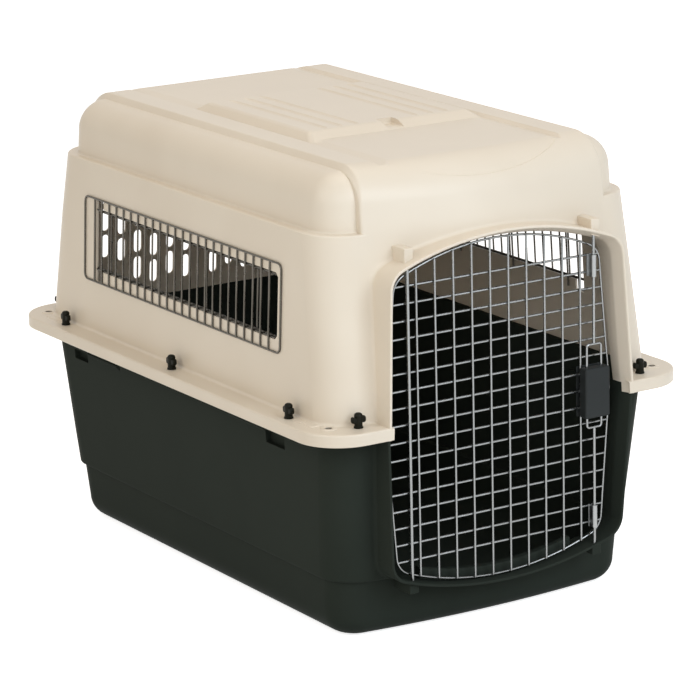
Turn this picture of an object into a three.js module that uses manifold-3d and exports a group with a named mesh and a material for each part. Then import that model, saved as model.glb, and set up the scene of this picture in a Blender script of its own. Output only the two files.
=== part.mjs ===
import * as THREE from 'three';
import { mergeVertices } from 'three/addons/utils/BufferGeometryUtils.js';
import Module from 'manifold-3d';

// Plastic dog crate with a wire door. Millimetres, +X to the right of the crate, -Y out of the door,
// +Z up. The origin is the middle of the footprint, on the ground.

// Overall plan and heights
const flangeHalfWidth = 314.5;
const flangeHalfLength = 461.4;
const flangeCorner = 69;
const flangeTop = 326;
const railTop = 676;
const upperHeight = railTop - flangeTop;
const skirtHeight = 18;
const flangePlate = 3.7;
const skirtWall = 3.2;

// Clearances and walls
const seamGap = 0.3;
const tenonGap = 0.4;
const overrun = 20;
const halfTurn = 180;
const topWall = 3.2;
const baseWall = 3.5;

// Top shell: the wall leans in from the flange to the ledge
const ledgeShare = 0.74571;
const ledgeZ = flangeTop + upperHeight * ledgeShare;
const waistShare = 0.46286;
const waistZ = flangeTop + upperHeight * waistShare;
const topAtSeam = insideFlange({ sideIn: 35.5, rearIn: 35.4, frontIn: 39.4, bow: 27, corner: 51 });
const topAtWaist = insideFlange({ sideIn: 43.9, rearIn: 50.4, frontIn: 55.4, bow: 27, corner: 60 });
const topAtLedge = insideFlange({ sideIn: 49, rearIn: 62.4, frontIn: 64.4, bow: 27, corner: 68 });
const ledgeDepth = 14;
const rearLedgeDepth = 18;
const shoulderDrop = 8.5;
const shoulderTop = railTop - shoulderDrop;
const shoulderRadius = 46;
const shoulderLean = 2.2;

// Middle band of the roof, between the shoulders
const bandIn = 108.5;
const bandHalfWidth = flangeHalfWidth - bandIn;
const bandTaper = 2;
const bandSlopeRun = 8;
const bandCorner = 4;
const leastCorner = 0.5;
const hoodRadius = 50;
const rearRoundRadius = 56;
const hoodBow = 12;
const roofFloorDrop = 0.8;
const roofFloor = railTop - roofFloorDrop;
const floorIn = 73;
const floorHalfWidth = bandHalfWidth - floorIn;
const grooveIn = 53.5;
const grooveX = bandHalfWidth - grooveIn;
const grooveOuterRun = 6.1;
const grooveInnerRun = 19.5;
const grooveDepth = 4.4;
const grooveBottom = railTop - grooveDepth;

// Raised pad on the roof
const padRise = 8;
const padTop = railTop + padRise;
const padIn = 69.5;
const padHalfWidth = bandHalfWidth - padIn;
const padFrontIn = 312.4;
const padFront = padFrontIn - flangeHalfLength;
const padRearIn = 325.4;
const padRear = flangeHalfLength - padRearIn;
const padSideRun = 21;
const padFrontRun = 48;
const padRearRun = 38;
const padSink = 12;
const padFoot = railTop - padSink;
const padWall = 3.2;
const padHollowInset = 17;
const padGroovesIn = [85, 58, 32];
const padGrooveWidth = 6;
const padGrooveDepth = 1.2;
const padGrooveMargin = 5;
const padNotchHalfWidth = 14;
const padNotchDepth = 8;

// Base shell
const baseStepZ = 87;
const baseStepRise = 2;
const baseEdgeRadius = 34;
const baseAtEdge = insideFlange({ sideIn: 67.7, rearIn: 69.1, frontIn: 71.1, bow: 12, corner: 50 });
const baseBelowStep = insideFlange({ sideIn: 64.5, rearIn: 60.4, frontIn: 65.4, bow: 13, corner: 52 });
const baseStep = 7.5;
const baseAtRim = insideFlange({ sideIn: 41.5, rearIn: 37.4, frontIn: 39.4, bow: 16, corner: 49 });
const rimPlate = 3.5;

// Door opening and the collar round it
const openingWaistZ = 308;
const openingIn = 116.5;
const openingHalf = flangeHalfWidth - openingIn;
const openingTopIn = 12;
const openingFootIn = 7;
const openingCrownZShare = 0.68286;
const openingCrownZ = flangeTop + upperHeight * openingCrownZShare;
const openingCornerDrop = 35;
const openingCrownShare = 2.4646;
const openingSillShare = 2.8283;
const opening = {
  waistHalf: openingHalf,
  waist: openingWaistZ,
  topHalf: openingHalf - openingTopIn,
  topAt: openingCrownZ - openingCornerDrop,
  footHalf: openingHalf - openingFootIn,
  footAt: 110,
  crown: openingCrownZ,
  crownRadius: openingHalf * openingCrownShare,
  sill: 66.5,
  sillRadius: openingHalf * openingSillShare,
  corner: 31,
};
const lipSpread = 7.4;
const lipFootSpread = 4;
const lipCrownRise = 8.4;
const openingLip = {
  ...opening,
  waistHalf: opening.waistHalf + lipSpread,
  topHalf: opening.topHalf + lipSpread,
  topAt: opening.topAt + lipCrownRise,
  footHalf: opening.footHalf + lipFootSpread,
  crown: opening.crown + lipCrownRise,
};
const lipDepth = 22;
const topLipLean = 0.038;
const baseLipLean = 0.055;
const collarWall = 4;
const tenonWall = 3.6;
const tenonSetBack = 14;
const collarReach = 70;
const sillStripBehindLip = 42.4;
const sillStripDepth = 14;
const sillStripRise = 14.2;
const sillStripLeftIn = 55;
const sillStripLeft = sillStripLeftIn - opening.footHalf;
const sillStripRightIn = 67;
const sillStripRight = opening.footHalf - sillStripRightIn;
const sillStripShare = 2.3737;
const sillStripRadius = openingHalf * sillStripShare;

// Door of welded wire
const doorCentreX = -4;
const doorIn = 6;
const doorHalf = openingHalf - doorIn;
const doorTopIn = 18;
const doorFootIn = 16;
const doorCrownDrop = 3.3;
const doorCrownZ = openingCrownZ - doorCrownDrop;
const doorCornerDrop = 43.7;
const doorCrownShare = 2.0573;
const doorSillShare = 2.3385;
const doorOutline = {
  waistHalf: doorHalf,
  waist: 314,
  topHalf: doorHalf - doorTopIn,
  topAt: doorCrownZ - doorCornerDrop,
  footHalf: doorHalf - doorFootIn,
  footAt: 117,
  crown: doorCrownZ,
  crownRadius: doorHalf * doorCrownShare,
  sill: 70.3,
  sillRadius: doorHalf * doorSillShare,
  corner: 30,
};
const doorWire = 3.3;
const doorBehindLip = 29.35;
const doorWeld = 0.25;
const doorUprights = 10;
const doorUprightFirstIn = 35.2;
const doorUprightLastIn = 34.7;
const doorRungs = 17;
const doorRungDrop = 47.6;
const doorRungTopZ = doorCrownZ - doorRungDrop;
const doorRungFootZ = 117.46;
const doorRungPitch = (doorRungTopZ - doorRungFootZ) / (doorRungs - 1);

// Hinge rod and the lugs that its ends turn in
const hingeIn = 16;
const hingeX = hingeIn - doorOutline.topHalf;
const hingeRod = 5;
const hingeTopDrop = 7.8;
const hingeTopZ = openingLip.crown - hingeTopDrop;
const hingeFootZ = 78;
const pinClearance = 0.5;
const lugHalfWidth = 7.5;
const lugWall = 3;
const lugTopDrop = 4.9;
const lugTopZ = openingLip.crown - lugTopDrop;
const lugFootZ = 71;
const lugBehindLip = 72.4;

// Squeeze latch
const latchIn = 20.5;
const latchX = doorOutline.topHalf - latchIn;
const boltBehindLip = 21.8;
const boltRod = 4.4;
const boltTopDrop = 7.9;
const boltTopZ = openingLip.crown - boltTopDrop;
const boltFootZ = 78;
const forkRod = 3.6;
const forkHalfWidth = 12.5;
const upperBarZ = 385;
const lowerBarZ = 262;
const forkFootHalf = 17;
const forkFootDepth = 9;
const forkFootHeight = 4.6;
const housingHalfWidth = 21.5;
const housingBehindLip = 11.4;
const housingDepth = 17.4;
const housingTopZ = 352;
const housingFootZ = 278;
const housingWall = 2.2;
const housingShelfZ = 310;
const housingShelf = 2.4;
const bossRadius = 3;
const bossSpread = 14;
const wireClearance = 0.4;
const backPlate = 2;
const springRadius = 5;
const springWire = 1.4;
const guideSheet = 1.2;
const guideLip = 1.5;
const upperGuideDrop = 30.1;
const upperGuideRise = 1.9;
const guides = {
  upper: { low: doorRungTopZ - upperGuideDrop, high: doorRungTopZ + upperGuideRise, halfWidth: 6.5 },
  lower: { low: 112, high: 145, halfWidth: 4.6 },
};

// Side windows and their wire grilles
const windowLowShare = 0.27714;
const windowLow = flangeTop + upperHeight * windowLowShare;
const windowHighShare = 0.55143;
const windowHigh = flangeTop + upperHeight * windowHighShare;
const windowFrontIn = 186.4;
const windowFront = windowFrontIn - flangeHalfLength;
const windowRearIn = 207.4;
const windowRear = flangeHalfLength - windowRearIn;
const windowCorner = 6;
const notchLength = 21;
const notchDrop = 17;
const notchLow = windowLow - notchDrop;
const notchRise = 14;
const notchHigh = windowHigh + notchRise;
const grilleFrontLap = 10.5;
const grilleFront = windowFront - grilleFrontLap;
const grilleRearLap = 34;
const grilleRear = windowRear + grilleRearLap;
const grilleLength = grilleRear - grilleFront;
const grilleDrop = 17.4;
const grilleLow = windowLow - grilleDrop;
const grilleRise = 14.5;
const grilleHigh = windowHigh + grilleRise;
const grilleWire = 3;
const grilleCorner = 9;
const grilleUprights = 24;
const grilleEndCell = 31.1;
const grilleOut = 1.8;
const grilleRailIn = 1;
const grilleSecondRailIn = 3;
const grilleSecondRailShift = 2;
const clampIn = 5.2;
const clampReach = 13;
const clampShares = [0.1275, 0.377, 0.6266, 0.8761];
const grilleEdgeGap = 0.5;

// Rear ventilation slots
const slotWidth = 14;
const slotRows = 5;
const slotEndMargins = 43.5;
const slotPitchZ = (ledgeZ - flangeTop - slotEndMargins) / slotRows;
const slotBridge = 6.5;
const slotHeight = slotPitchZ - slotBridge;
const slotLowRise = 19;
const slotLowZ = flangeTop + slotLowRise;
const slotStagger = 9.5;
const slotColumns = 6;
const slotFirstX = 25.5;
const slotLastIn = 34.5;
const slotShortColumns = 2;

// Flange bolts, wing nuts and cable-tie holes
const boltShank = 6;
const boltHeadRadius = 5.2;
const boltHead = 3.6;
const boltHole = 6.8;
const boltThreadTop = 13.5;
const nutGap = 0.3;
const nutBodyRadius = 7.2;
const nutBaseRadius = 8.4;
const nutBase = 2.6;
const nutBody = 13;
const nutHeight = 21.5;
const nutWingLength = 22.5;
const nutWingWidth = 6.6;
const nutWingHeight = 9.5;
const nutBore = 14.3;
const sideBoltIn = 21.5;
const sideBoltX = flangeHalfWidth - sideBoltIn;
const sideBoltFrontIn = 128.4;
const sideBoltFrontY = sideBoltFrontIn - flangeHalfLength;
const sideBoltRearIn = 136.4;
const sideBoltRearY = flangeHalfLength - sideBoltRearIn;
const sideBoltMiddleY = (sideBoltFrontY + sideBoltRearY) / 2;
const endBoltIn = 73.5;
const endBoltX = flangeHalfWidth - endBoltIn;
const frontBoltIn = 29.4;
const rearBoltIn = 24.4;
const tieHole = 5.6;
const tiePad = 10.5;
const tiePadRise = 1.2;
const tieSideIn = 37.5;
const tieX = flangeHalfWidth - tieSideIn;
const tieEndIn = 49.4;
const tieY = flangeHalfLength - tieEndIn;

// Fineness of the facets
const cornerSteps = 5;
const bowSteps = 8;
const arcSteps = 4;
const archSteps = 6;
const slotSteps = 2;
const roundSides = 12;
const rodSides = 8;

// Values that follow from the ones above
const skirtBottom = flangeTop - skirtHeight;
const plateUnder = flangeTop - flangePlate;
const rimTop = plateUnder - seamGap;
const lipY = -flangeHalfLength;
const baseLipY = lipY + skirtWall + tenonGap;
const topLip = { y: lipY, lean: topLipLean, startZ: flangeTop, upward: 1 };
const baseLip = { y: baseLipY, lean: baseLipLean, startZ: skirtBottom, upward: -1 };
const lugBackY = lipY + lugBehindLip;
const sillStripFront = lipY + sillStripBehindLip;
const boltY = lipY + boltBehindLip;
const housingFrontY = lipY + housingBehindLip;
const housingBackY = housingFrontY + housingDepth;
const doorUprightY = lipY + doorBehindLip;
const doorUprightFirstX = doorCentreX - doorOutline.topHalf + doorUprightFirstIn;
const doorUprightLastX = doorCentreX + doorOutline.topHalf - doorUprightLastIn;
const doorUprightPitch = (doorUprightLastX - doorUprightFirstX) / (doorUprights - 1);
const rungY = doorUprightY + doorWire - doorWeld;
const rungFrontY = rungY - doorWire / 2;
const rungBackY = rungY + doorWire / 2;
const hingeY = rungFrontY - seamGap - hingeRod / 2;
const roofInner = grooveBottom - topWall;

const wasm = await Module();
wasm.setup();

// A section of a wall, stated by how far it stands in from the edge of the flange.
function insideFlange({ sideIn, rearIn, frontIn, bow, corner }) {
  return {
    halfWidth: flangeHalfWidth - sideIn,
    rear: flangeHalfLength - rearIn,
    front: flangeHalfLength - frontIn,
    bow,
    corner,
  };
}

// Turns a three.js geometry into a solid that can be joined and cut.
function solid(geometry) {
  geometry.deleteAttribute('normal');
  geometry.deleteAttribute('uv');
  const merged = mergeVertices(geometry);
  return new wasm.Manifold(new wasm.Mesh({
    numProp: 3,
    vertProperties: new Float32Array(merged.attributes.position.array),
    triVerts: new Uint32Array(merged.index.array),
  }));
}

// Turns a solid back into a three.js geometry.
function geometryOf(body) {
  const mesh = body.getMesh();
  const geometry = new THREE.BufferGeometry();
  geometry.setAttribute('position', new THREE.BufferAttribute(mesh.vertProperties, mesh.numProp));
  geometry.setIndex(new THREE.BufferAttribute(mesh.triVerts, 1));
  return geometry;
}

function joined(bodies) {
  return bodies.reduce((whole, body) => whole.add(body));
}

function cut(body, tools) {
  return tools.reduce((rest, tool) => rest.subtract(tool), body);
}

// A box between two corners.
function block(x0, x1, y0, y1, z0, z1) {
  const geometry = new THREE.BoxGeometry(x1 - x0, y1 - y0, z1 - z0);
  geometry.translate((x0 + x1) / 2, (y0 + y1) / 2, (z0 + z1) / 2);
  return solid(geometry);
}

// An upright cylinder.
function post(x, y, z0, z1, radius, sides = rodSides) {
  const geometry = new THREE.CylinderGeometry(radius, radius, z1 - z0, sides);
  geometry.rotateX(Math.PI / 2);
  geometry.translate(x, y, (z0 + z1) / 2);
  return solid(geometry);
}

// A cylinder along X.
function crossbar(x0, x1, y, z, radius) {
  const geometry = new THREE.CylinderGeometry(radius, radius, x1 - x0, rodSides);
  geometry.rotateZ(Math.PI / 2);
  geometry.translate((x0 + x1) / 2, y, z);
  return solid(geometry);
}

// A shape drawn in X and Z, carried from yFront back to yBack.
function prismAlongY(shape, yFront, yBack) {
  const geometry = new THREE.ExtrudeGeometry(shape, { depth: yBack - yFront, bevelEnabled: false });
  geometry.rotateX(Math.PI / 2);
  geometry.translate(0, yBack, 0);
  return solid(geometry);
}

// A shape drawn in Y and Z, carried from x0 to x1.
function prismAlongX(shape, x0, x1) {
  const geometry = new THREE.ExtrudeGeometry(shape, { depth: x1 - x0, bevelEnabled: false });
  const turn = new THREE.Matrix4().makeBasis(
    new THREE.Vector3(0, 1, 0), new THREE.Vector3(0, 0, 1), new THREE.Vector3(1, 0, 0));
  geometry.applyMatrix4(turn);
  geometry.translate(x0, 0, 0);
  return solid(geometry);
}

// A ring in plan: a rounded rectangle whose front edge bows forward, counter-clockwise.
function planRing(section, z, inset = 0) {
  const corner = Math.max(section.corner - inset, leastCorner);
  const halfWidth = section.halfWidth - inset;
  const straight = halfWidth - corner;
  const front = section.front - inset;
  const rear = section.rear - inset;
  const ring = [];
  for (let i = 0; i <= bowSteps; i++) {
    const along = 2 * i / bowSteps - 1;
    ring.push([straight * along, -front - section.bow * (1 - along * along), z]);
  }
  const arc = (cx, cy, start, first, last) => {
    for (let i = first; i <= last; i++) {
      const angle = start + Math.PI / 2 * i / cornerSteps;
      ring.push([cx + corner * Math.cos(angle), cy + corner * Math.sin(angle), z]);
    }
  };
  arc(straight, corner - front, -Math.PI / 2, 1, cornerSteps);
  arc(straight, rear - corner, 0, 0, cornerSteps);
  arc(-straight, rear - corner, Math.PI / 2, 0, cornerSteps);
  arc(-straight, corner - front, Math.PI, 0, cornerSteps - 1);
  return ring;
}

// A closed skin through a stack of rings, fanned shut at both ends.
function loft(rings) {
  const count = rings[0].length;
  const points = rings.flat();
  const index = [];
  for (let level = 0; level < rings.length - 1; level++) {
    for (let i = 0; i < count; i++) {
      const a = level * count + i;
      const b = level * count + (i + 1) % count;
      index.push(a, b, b + count, a, b + count, a + count);
    }
  }
  const cap = (first, up) => {
    const ring = points.slice(first, first + count);
    const middle = points.length;
    const mean = (axis) => ring.reduce((sum, p) => sum + p[axis], 0) / count;
    points.push([0, mean(1), mean(2)]);
    for (let i = 0; i < count; i++) {
      const a = first + i;
      const b = first + (i + 1) % count;
      index.push(...(up ? [a, b, middle] : [b, a, middle]));
    }
  };
  cap(0, false);
  cap((rings.length - 1) * count, true);
  const geometry = new THREE.BufferGeometry();
  geometry.setAttribute('position', new THREE.Float32BufferAttribute(points.flat(), 3));
  geometry.setIndex(index);
  return solid(geometry);
}

// The section between two others, at a share of the way from the first to the second.
function between(low, high, share) {
  const mixed = {};
  for (const key of Object.keys(low)) mixed[key] = low[key] + (high[key] - low[key]) * share;
  return mixed;
}

// The same section made larger all round.
function grown(section, by) {
  return {
    ...section,
    halfWidth: section.halfWidth + by,
    rear: section.rear + by,
    front: section.front + by,
    corner: section.corner + by,
  };
}

// Where a section's bowed front edge stands at x.
function frontAt(section, x) {
  const straight = section.halfWidth - section.corner;
  const along = Math.min(Math.abs(x) / straight, 1);
  return -section.front - section.bow * (1 - along * along);
}

// Right half of an arched outline from its foot to its crown, grown by an offset. The leaning sides
// meet the crown and the sill in corner arcs.
function archedOutline(outline, offset) {
  const half = (topHalf, topAt, crown, radius, sign) => {
    const start = new THREE.Vector2(outline.waistHalf, sign * outline.waist);
    const along = new THREE.Vector2(topHalf, sign * topAt).sub(start).normalize();
    const inward = new THREE.Vector2(-along.y, along.x);
    const arch = new THREE.Vector2(0, sign * crown - radius);
    const from = start.clone().addScaledVector(inward, outline.corner).sub(arch);
    const dot = from.dot(along);
    const reach = (radius - outline.corner) ** 2;
    const travel = -dot + Math.sqrt(dot * dot - from.lengthSq() + reach);
    const centre = from.addScaledVector(along, travel).add(arch);
    const first = Math.atan2(-inward.y, -inward.x);
    const last = Math.atan2(centre.y - arch.y, centre.x);
    const points = [new THREE.Vector2(outline.waistHalf + offset, sign * outline.waist)];
    for (let i = 0; i <= arcSteps; i++) {
      const angle = first + (last - first) * i / arcSteps;
      const arm = new THREE.Vector2(Math.cos(angle), Math.sin(angle));
      points.push(centre.clone().addScaledVector(arm, outline.corner + offset));
    }
    for (let i = 1; i <= archSteps; i++) {
      const angle = last + (Math.PI / 2 - last) * i / archSteps;
      const arm = new THREE.Vector2(Math.cos(angle), Math.sin(angle));
      points.push(arch.clone().addScaledVector(arm, radius + offset));
    }
    points[points.length - 1].x = 0;
    return points.map((point) => new THREE.Vector2(point.x, sign * point.y));
  };
  const upper = half(outline.topHalf, outline.topAt, outline.crown, outline.crownRadius, 1);
  const lower = half(outline.footHalf, outline.footAt, outline.sill, outline.sillRadius, -1);
  const right = [...lower.reverse(), ...upper.slice(1)];
  const left = right.slice(1, -1).reverse().map((point) => new THREE.Vector2(-point.x, point.y));
  return [...right, ...left];
}

// Lowest and highest place where a closed outline crosses one value of a coordinate.
function spanOf(points, axis, value) {
  const other = axis === 'x' ? 'y' : 'x';
  const hits = [];
  points.forEach((point, i) => {
    const next = points[(i + 1) % points.length];
    const low = Math.min(point[axis], next[axis]);
    const high = Math.max(point[axis], next[axis]);
    if (value < low || value > high || low === high) return;
    const share = (value - point[axis]) / (next[axis] - point[axis]);
    hits.push(point[other] + (next[other] - point[other]) * share);
  });
  return [Math.min(...hits), Math.max(...hits)];
}

// Every round piece that stands on the flange: name ending, x and y.
const flangeBolts = [
  ['left_front', -sideBoltX, sideBoltFrontY],
  ['left_middle', -sideBoltX, sideBoltMiddleY],
  ['left_rear', -sideBoltX, sideBoltRearY],
  ['right_front', sideBoltX, sideBoltFrontY],
  ['right_middle', sideBoltX, sideBoltMiddleY],
  ['right_rear', sideBoltX, sideBoltRearY],
  ['front_left', -endBoltX, frontBoltIn - flangeHalfLength],
  ['front_right', endBoltX, frontBoltIn - flangeHalfLength],
  ['rear_left', -endBoltX, flangeHalfLength - rearBoltIn],
  ['rear_right', endBoltX, flangeHalfLength - rearBoltIn],
];
const tiePlaces = [[-tieX, -tieY], [tieX, -tieY], [-tieX, tieY], [tieX, tieY]];

// Holes that go through both shells at the flange.
function flangeHoles() {
  const low = rimTop - rimPlate - overrun;
  const high = flangeTop + overrun;
  return [
    ...flangeBolts.map(([, x, y]) => post(x, y, low, high, boltHole / 2, roundSides)),
    ...tiePlaces.map(([x, y]) => post(x, y, low, high, tieHole / 2, rodSides)),
  ];
}

// A filled block round the doorway of one shell, between two heights. Each layer is an outline grown by
// an offset, at a depth behind the lip, and every layer leans back away from the seam as the lip does.
function rimBlock(lip, layers, z0, z1) {
  const rings = layers.map(([outline, offset, depth]) => archedOutline(outline, offset).map((point) => {
    const away = Math.max(lip.upward * (point.y - lip.startZ), 0);
    return [point.x, lip.y + depth + lip.lean * away, point.y];
  }));
  const reach = flangeHalfWidth;
  const deep = lip.y + 4 * collarReach;
  return loft(rings.reverse()).intersect(block(-reach, reach, lip.y - 2 * overrun, deep, z0, z1));
}

// The doorway itself: it narrows from the lip back to the opening that the door closes.
function doorway(lip, z0, z1) {
  return rimBlock(lip, [
    [openingLip, 0, -overrun], [openingLip, 0, 0], [opening, 0, lipDepth], [opening, 0, 2 * collarReach],
  ], z0, z1);
}

// The collar round the doorway, filled.
function collarBlock(lip, gap, front, back, z0, z1) {
  return rimBlock(lip, [
    [openingLip, collarWall + gap, front - lip.y], [openingLip, collarWall + gap, back - lip.y],
  ], z0, z1);
}

// The tongue of the base collar that stands up behind the lip of the top collar, filled.
function tongueBlock(gap, z0, z1) {
  const front = tenonSetBack - gap;
  return rimBlock(baseLip, [
    [between(openingLip, opening, front / lipDepth), tenonWall + gap, front],
    [opening, tenonWall + gap, lipDepth], [opening, tenonWall + gap, collarReach],
  ], z0, z1);
}

// A lug on the outside of the collar that holds the end of a rod.
function lug(x, frontY, z0, z1) {
  return block(x - lugHalfWidth, x + lugHalfWidth, frontY, lugBackY, z0, z1);
}

// A wall section at a height of the top shell below the ledge.
function topSection(z) {
  if (z <= waistZ) return between(topAtSeam, topAtWaist, (z - flangeTop) / (waistZ - flangeTop));
  return between(topAtWaist, topAtLedge, (z - waistZ) / (ledgeZ - waistZ));
}

// The shoulders: inset from the wall at the ledge, then rounded over to the roof.
function shoulders(inset) {
  const stepped = grown(topAtLedge, -ledgeDepth);
  const foot = { ...stepped, rear: topAtLedge.rear - rearLedgeDepth };
  const springZ = shoulderTop - shoulderRadius;
  const spring = grown(foot, -shoulderLean);
  const rings = [planRing(foot, ledgeZ - overrun, inset), planRing(foot, ledgeZ, inset)];
  for (let i = 0; i <= arcSteps + 1; i++) {
    const angle = Math.PI / 2 * i / (arcSteps + 1);
    const turnedIn = shoulderRadius * (1 - Math.cos(angle));
    const z = springZ + (shoulderRadius - inset) * Math.sin(angle);
    rings.push(planRing(grown(spring, -turnedIn), z, inset * Math.cos(angle)));
  }
  return loft(rings);
}

// The middle band, flush with the front wall, with a rounded hood at the front and the rear.
function band(inset, top) {
  const leaningOn = between(topAtWaist, topAtLedge, 2);
  const section = (z) => {
    const above = (z - ledgeZ) / (ledgeZ - waistZ);
    const wall = z <= ledgeZ ? topSection(z) : between(topAtLedge, leaningOn, above);
    const sloped = bandSlopeRun * Math.max(z - shoulderTop, 0) / shoulderDrop;
    const halfWidth = bandHalfWidth - bandTaper * (z - ledgeZ) / (railTop - ledgeZ) - sloped;
    const straight = (halfWidth - bandCorner) / (wall.halfWidth - wall.corner);
    const rise = Math.max(z - ledgeZ, 0) / (railTop - ledgeZ);
    const bow = wall.bow + (hoodBow - wall.bow) * rise;
    const drop = (radius) => {
      const up = Math.max(z - (railTop - radius), 0);
      return radius - Math.sqrt(Math.max(radius * radius - up * up, 0));
    };
    return {
      halfWidth,
      rear: wall.rear - drop(rearRoundRadius),
      front: wall.front + bow * (1 - straight * straight) - drop(hoodRadius),
      bow: bow * straight * straight,
      corner: bandCorner,
    };
  };
  const heights = [ledgeZ - overrun, ledgeZ, shoulderTop, top];
  for (let i = 0; i < archSteps; i++) {
    heights.push(railTop - hoodRadius + hoodRadius * Math.sin(Math.PI / 2 * i / archSteps));
  }
  const used = heights.filter((z) => z <= top).sort((a, b) => a - b);
  return loft(used.map((z) => planRing(section(z), z, inset)));
}

// The raised pad: a block with sloping sides, lengthwise grooves and a notch in front.
function roofPad() {
  const ring = (x, front, rear, z) => [[-x, front, z], [x, front, z], [x, rear, z], [-x, rear, z]];
  const body = loft([
    ring(padHalfWidth + padSideRun, padFront - padFrontRun, padRear + padRearRun, padFoot),
    ring(padHalfWidth, padFront, padRear, padTop),
  ]);
  const grooveXs = padGroovesIn.map((inset) => padHalfWidth - inset);
  const grooves = grooveXs.flatMap((x) => [-x, x]).map((x) => block(
    x - padGrooveWidth / 2, x + padGrooveWidth / 2, padFront + padGrooveMargin, padRear - padGrooveMargin,
    padTop - padGrooveDepth, padTop + overrun));
  const notch = block(-padNotchHalfWidth, padNotchHalfWidth, padFront - overrun, padFront + padNotchDepth,
    roofFloor, padTop + overrun);
  return cut(body, [...grooves, notch]);
}

// Grooves along the roof between the rails and the floor: steep against the rail, gentle inwards.
function roofGrooves() {
  const innerRise = grooveDepth - roofFloorDrop;
  const high = 2 * grooveDepth;
  return [-1, 1].map((side) => {
    const shape = new THREE.Shape([
      new THREE.Vector2(side * grooveX, grooveBottom),
      new THREE.Vector2(side * (grooveX + 2 * grooveOuterRun), grooveBottom + high),
      new THREE.Vector2(side * (grooveX - grooveInnerRun * high / innerRise), grooveBottom + high),
    ]);
    return prismAlongY(shape, -flangeHalfLength, flangeHalfLength);
  });
}

// The side windows, each with a taller notch at one end. The right one is the left one turned half
// round.
function windows() {
  const shape = new THREE.Shape([
    new THREE.Vector2(windowFront, windowLow + windowCorner),
    new THREE.Vector2(windowFront + windowCorner, windowLow),
    new THREE.Vector2(windowRear - notchLength, windowLow),
    new THREE.Vector2(windowRear - notchLength, notchLow),
    new THREE.Vector2(windowRear, notchLow),
    new THREE.Vector2(windowRear, notchHigh),
    new THREE.Vector2(windowRear - notchLength, notchHigh),
    new THREE.Vector2(windowRear - notchLength, windowHigh),
    new THREE.Vector2(windowFront + windowCorner, windowHigh),
    new THREE.Vector2(windowFront, windowHigh - windowCorner),
  ]);
  const left = prismAlongX(shape, -flangeHalfWidth, -bandHalfWidth);
  return left.add(left.rotate([0, 0, halfTurn]));
}

// The round-ended slots of the rear wall, in staggered columns.
function rearSlots() {
  const slots = [];
  const pitchX = (bandHalfWidth - slotLastIn - slotFirstX) / (slotColumns - 1);
  for (let column = 0; column < slotColumns; column++) {
    const columnX = slotFirstX + column * pitchX;
    const low = slotLowZ + (column % 2) * slotStagger;
    const firstRow = column >= slotColumns - slotShortColumns ? 1 : 0;
    for (let row = firstRow; row < slotRows; row++) {
      for (const x of [-columnX, columnX]) {
        const shape = new THREE.Shape();
        const radius = slotWidth / 2;
        const foot = low + row * slotPitchZ + radius;
        const head = foot + slotHeight - slotWidth;
        shape.absarc(x, head, radius, 0, Math.PI, false);
        shape.absarc(x, foot, radius, Math.PI, 2 * Math.PI, false);
        const outline = new THREE.Shape(shape.getPoints(slotSteps));
        slots.push(prismAlongY(outline, topAtLedge.rear - 2 * overrun, topAtSeam.rear + overrun));
      }
    }
  }
  return joined(slots);
}

function topShell() {
  const plan = {
    halfWidth: flangeHalfWidth,
    rear: flangeHalfLength,
    front: flangeHalfLength,
    bow: 0,
    corner: flangeCorner,
  };
  const flange = loft([planRing(plan, skirtBottom), planRing(plan, flangeTop)])
    .subtract(loft([
      planRing(plan, skirtBottom - overrun, skirtWall),
      planRing(plan, plateUnder, skirtWall),
    ]));
  const tiePads = tiePlaces.map(([x, y]) => post(
    x, y, plateUnder, flangeTop + tiePadRise, tiePad, roundSides));
  const heights = [plateUnder, waistZ, ledgeZ];
  const wall = loft(heights.map((z) => planRing(topSection(z), z)));
  const collar = collarBlock(topLip, 0, lipY, lipY + collarReach, plateUnder, lugTopZ + overrun);
  const collarBack = frontAt(baseAtRim, opening.waistHalf + tenonWall) - tenonGap;
  const tongueRoom = tongueBlock(tenonGap, skirtBottom - overrun, plateUnder);
  const collarSkirt = collarBlock(topLip, 0, lipY, collarBack, skirtBottom, plateUnder + seamGap)
    .subtract(tongueRoom);
  const roof = cut(band(0, railTop), [
    block(-floorHalfWidth, floorHalfWidth, -flangeHalfLength, flangeHalfLength, roofFloor, padTop),
    ...roofGrooves(),
  ]);
  const lugs = [
    lug(hingeX, hingeY - hingeRod / 2 - lugWall, opening.topAt, lugTopZ),
    lug(latchX, boltY - boltRod / 2 - lugWall, opening.topAt, lugTopZ),
  ];
  const innerHeights = [plateUnder - overrun, flangeTop, waistZ, ledgeZ - topWall];
  const cabin = loft(innerHeights.map((z) => planRing(topSection(z), z, topWall)));
  const padHollowHalf = padHalfWidth - padHollowInset / 2;
  const padHollow = block(-padHollowHalf, padHollowHalf, padFront + padHollowInset,
    padRear - padHollowInset / 2, roofInner - overrun, padTop - padWall);
  const shell = joined([wall, shoulders(0), roof, roofPad(), collar, ...lugs]);
  const hollowed = cut(shell, [cabin, shoulders(topWall), band(topWall, roofInner), padHollow]);
  const throughFlange = block(-flangeHalfWidth, flangeHalfWidth, -flangeHalfLength, flangeHalfLength,
    plateUnder - overrun, flangeTop);
  return cut(joined([hollowed, flange, collarSkirt, ...tiePads]), [
    cabin.intersect(throughFlange),
    doorway(topLip, skirtBottom - overrun, lugTopZ + overrun),
    windows(),
    rearSlots(),
    post(hingeX, hingeY, openingWaistZ, hingeTopZ + pinClearance, hingeRod / 2 + pinClearance),
    post(latchX, boltY, openingWaistZ, boltTopZ + pinClearance, boltRod / 2 + pinClearance),
    ...flangeHoles(),
  ]);
}

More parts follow.
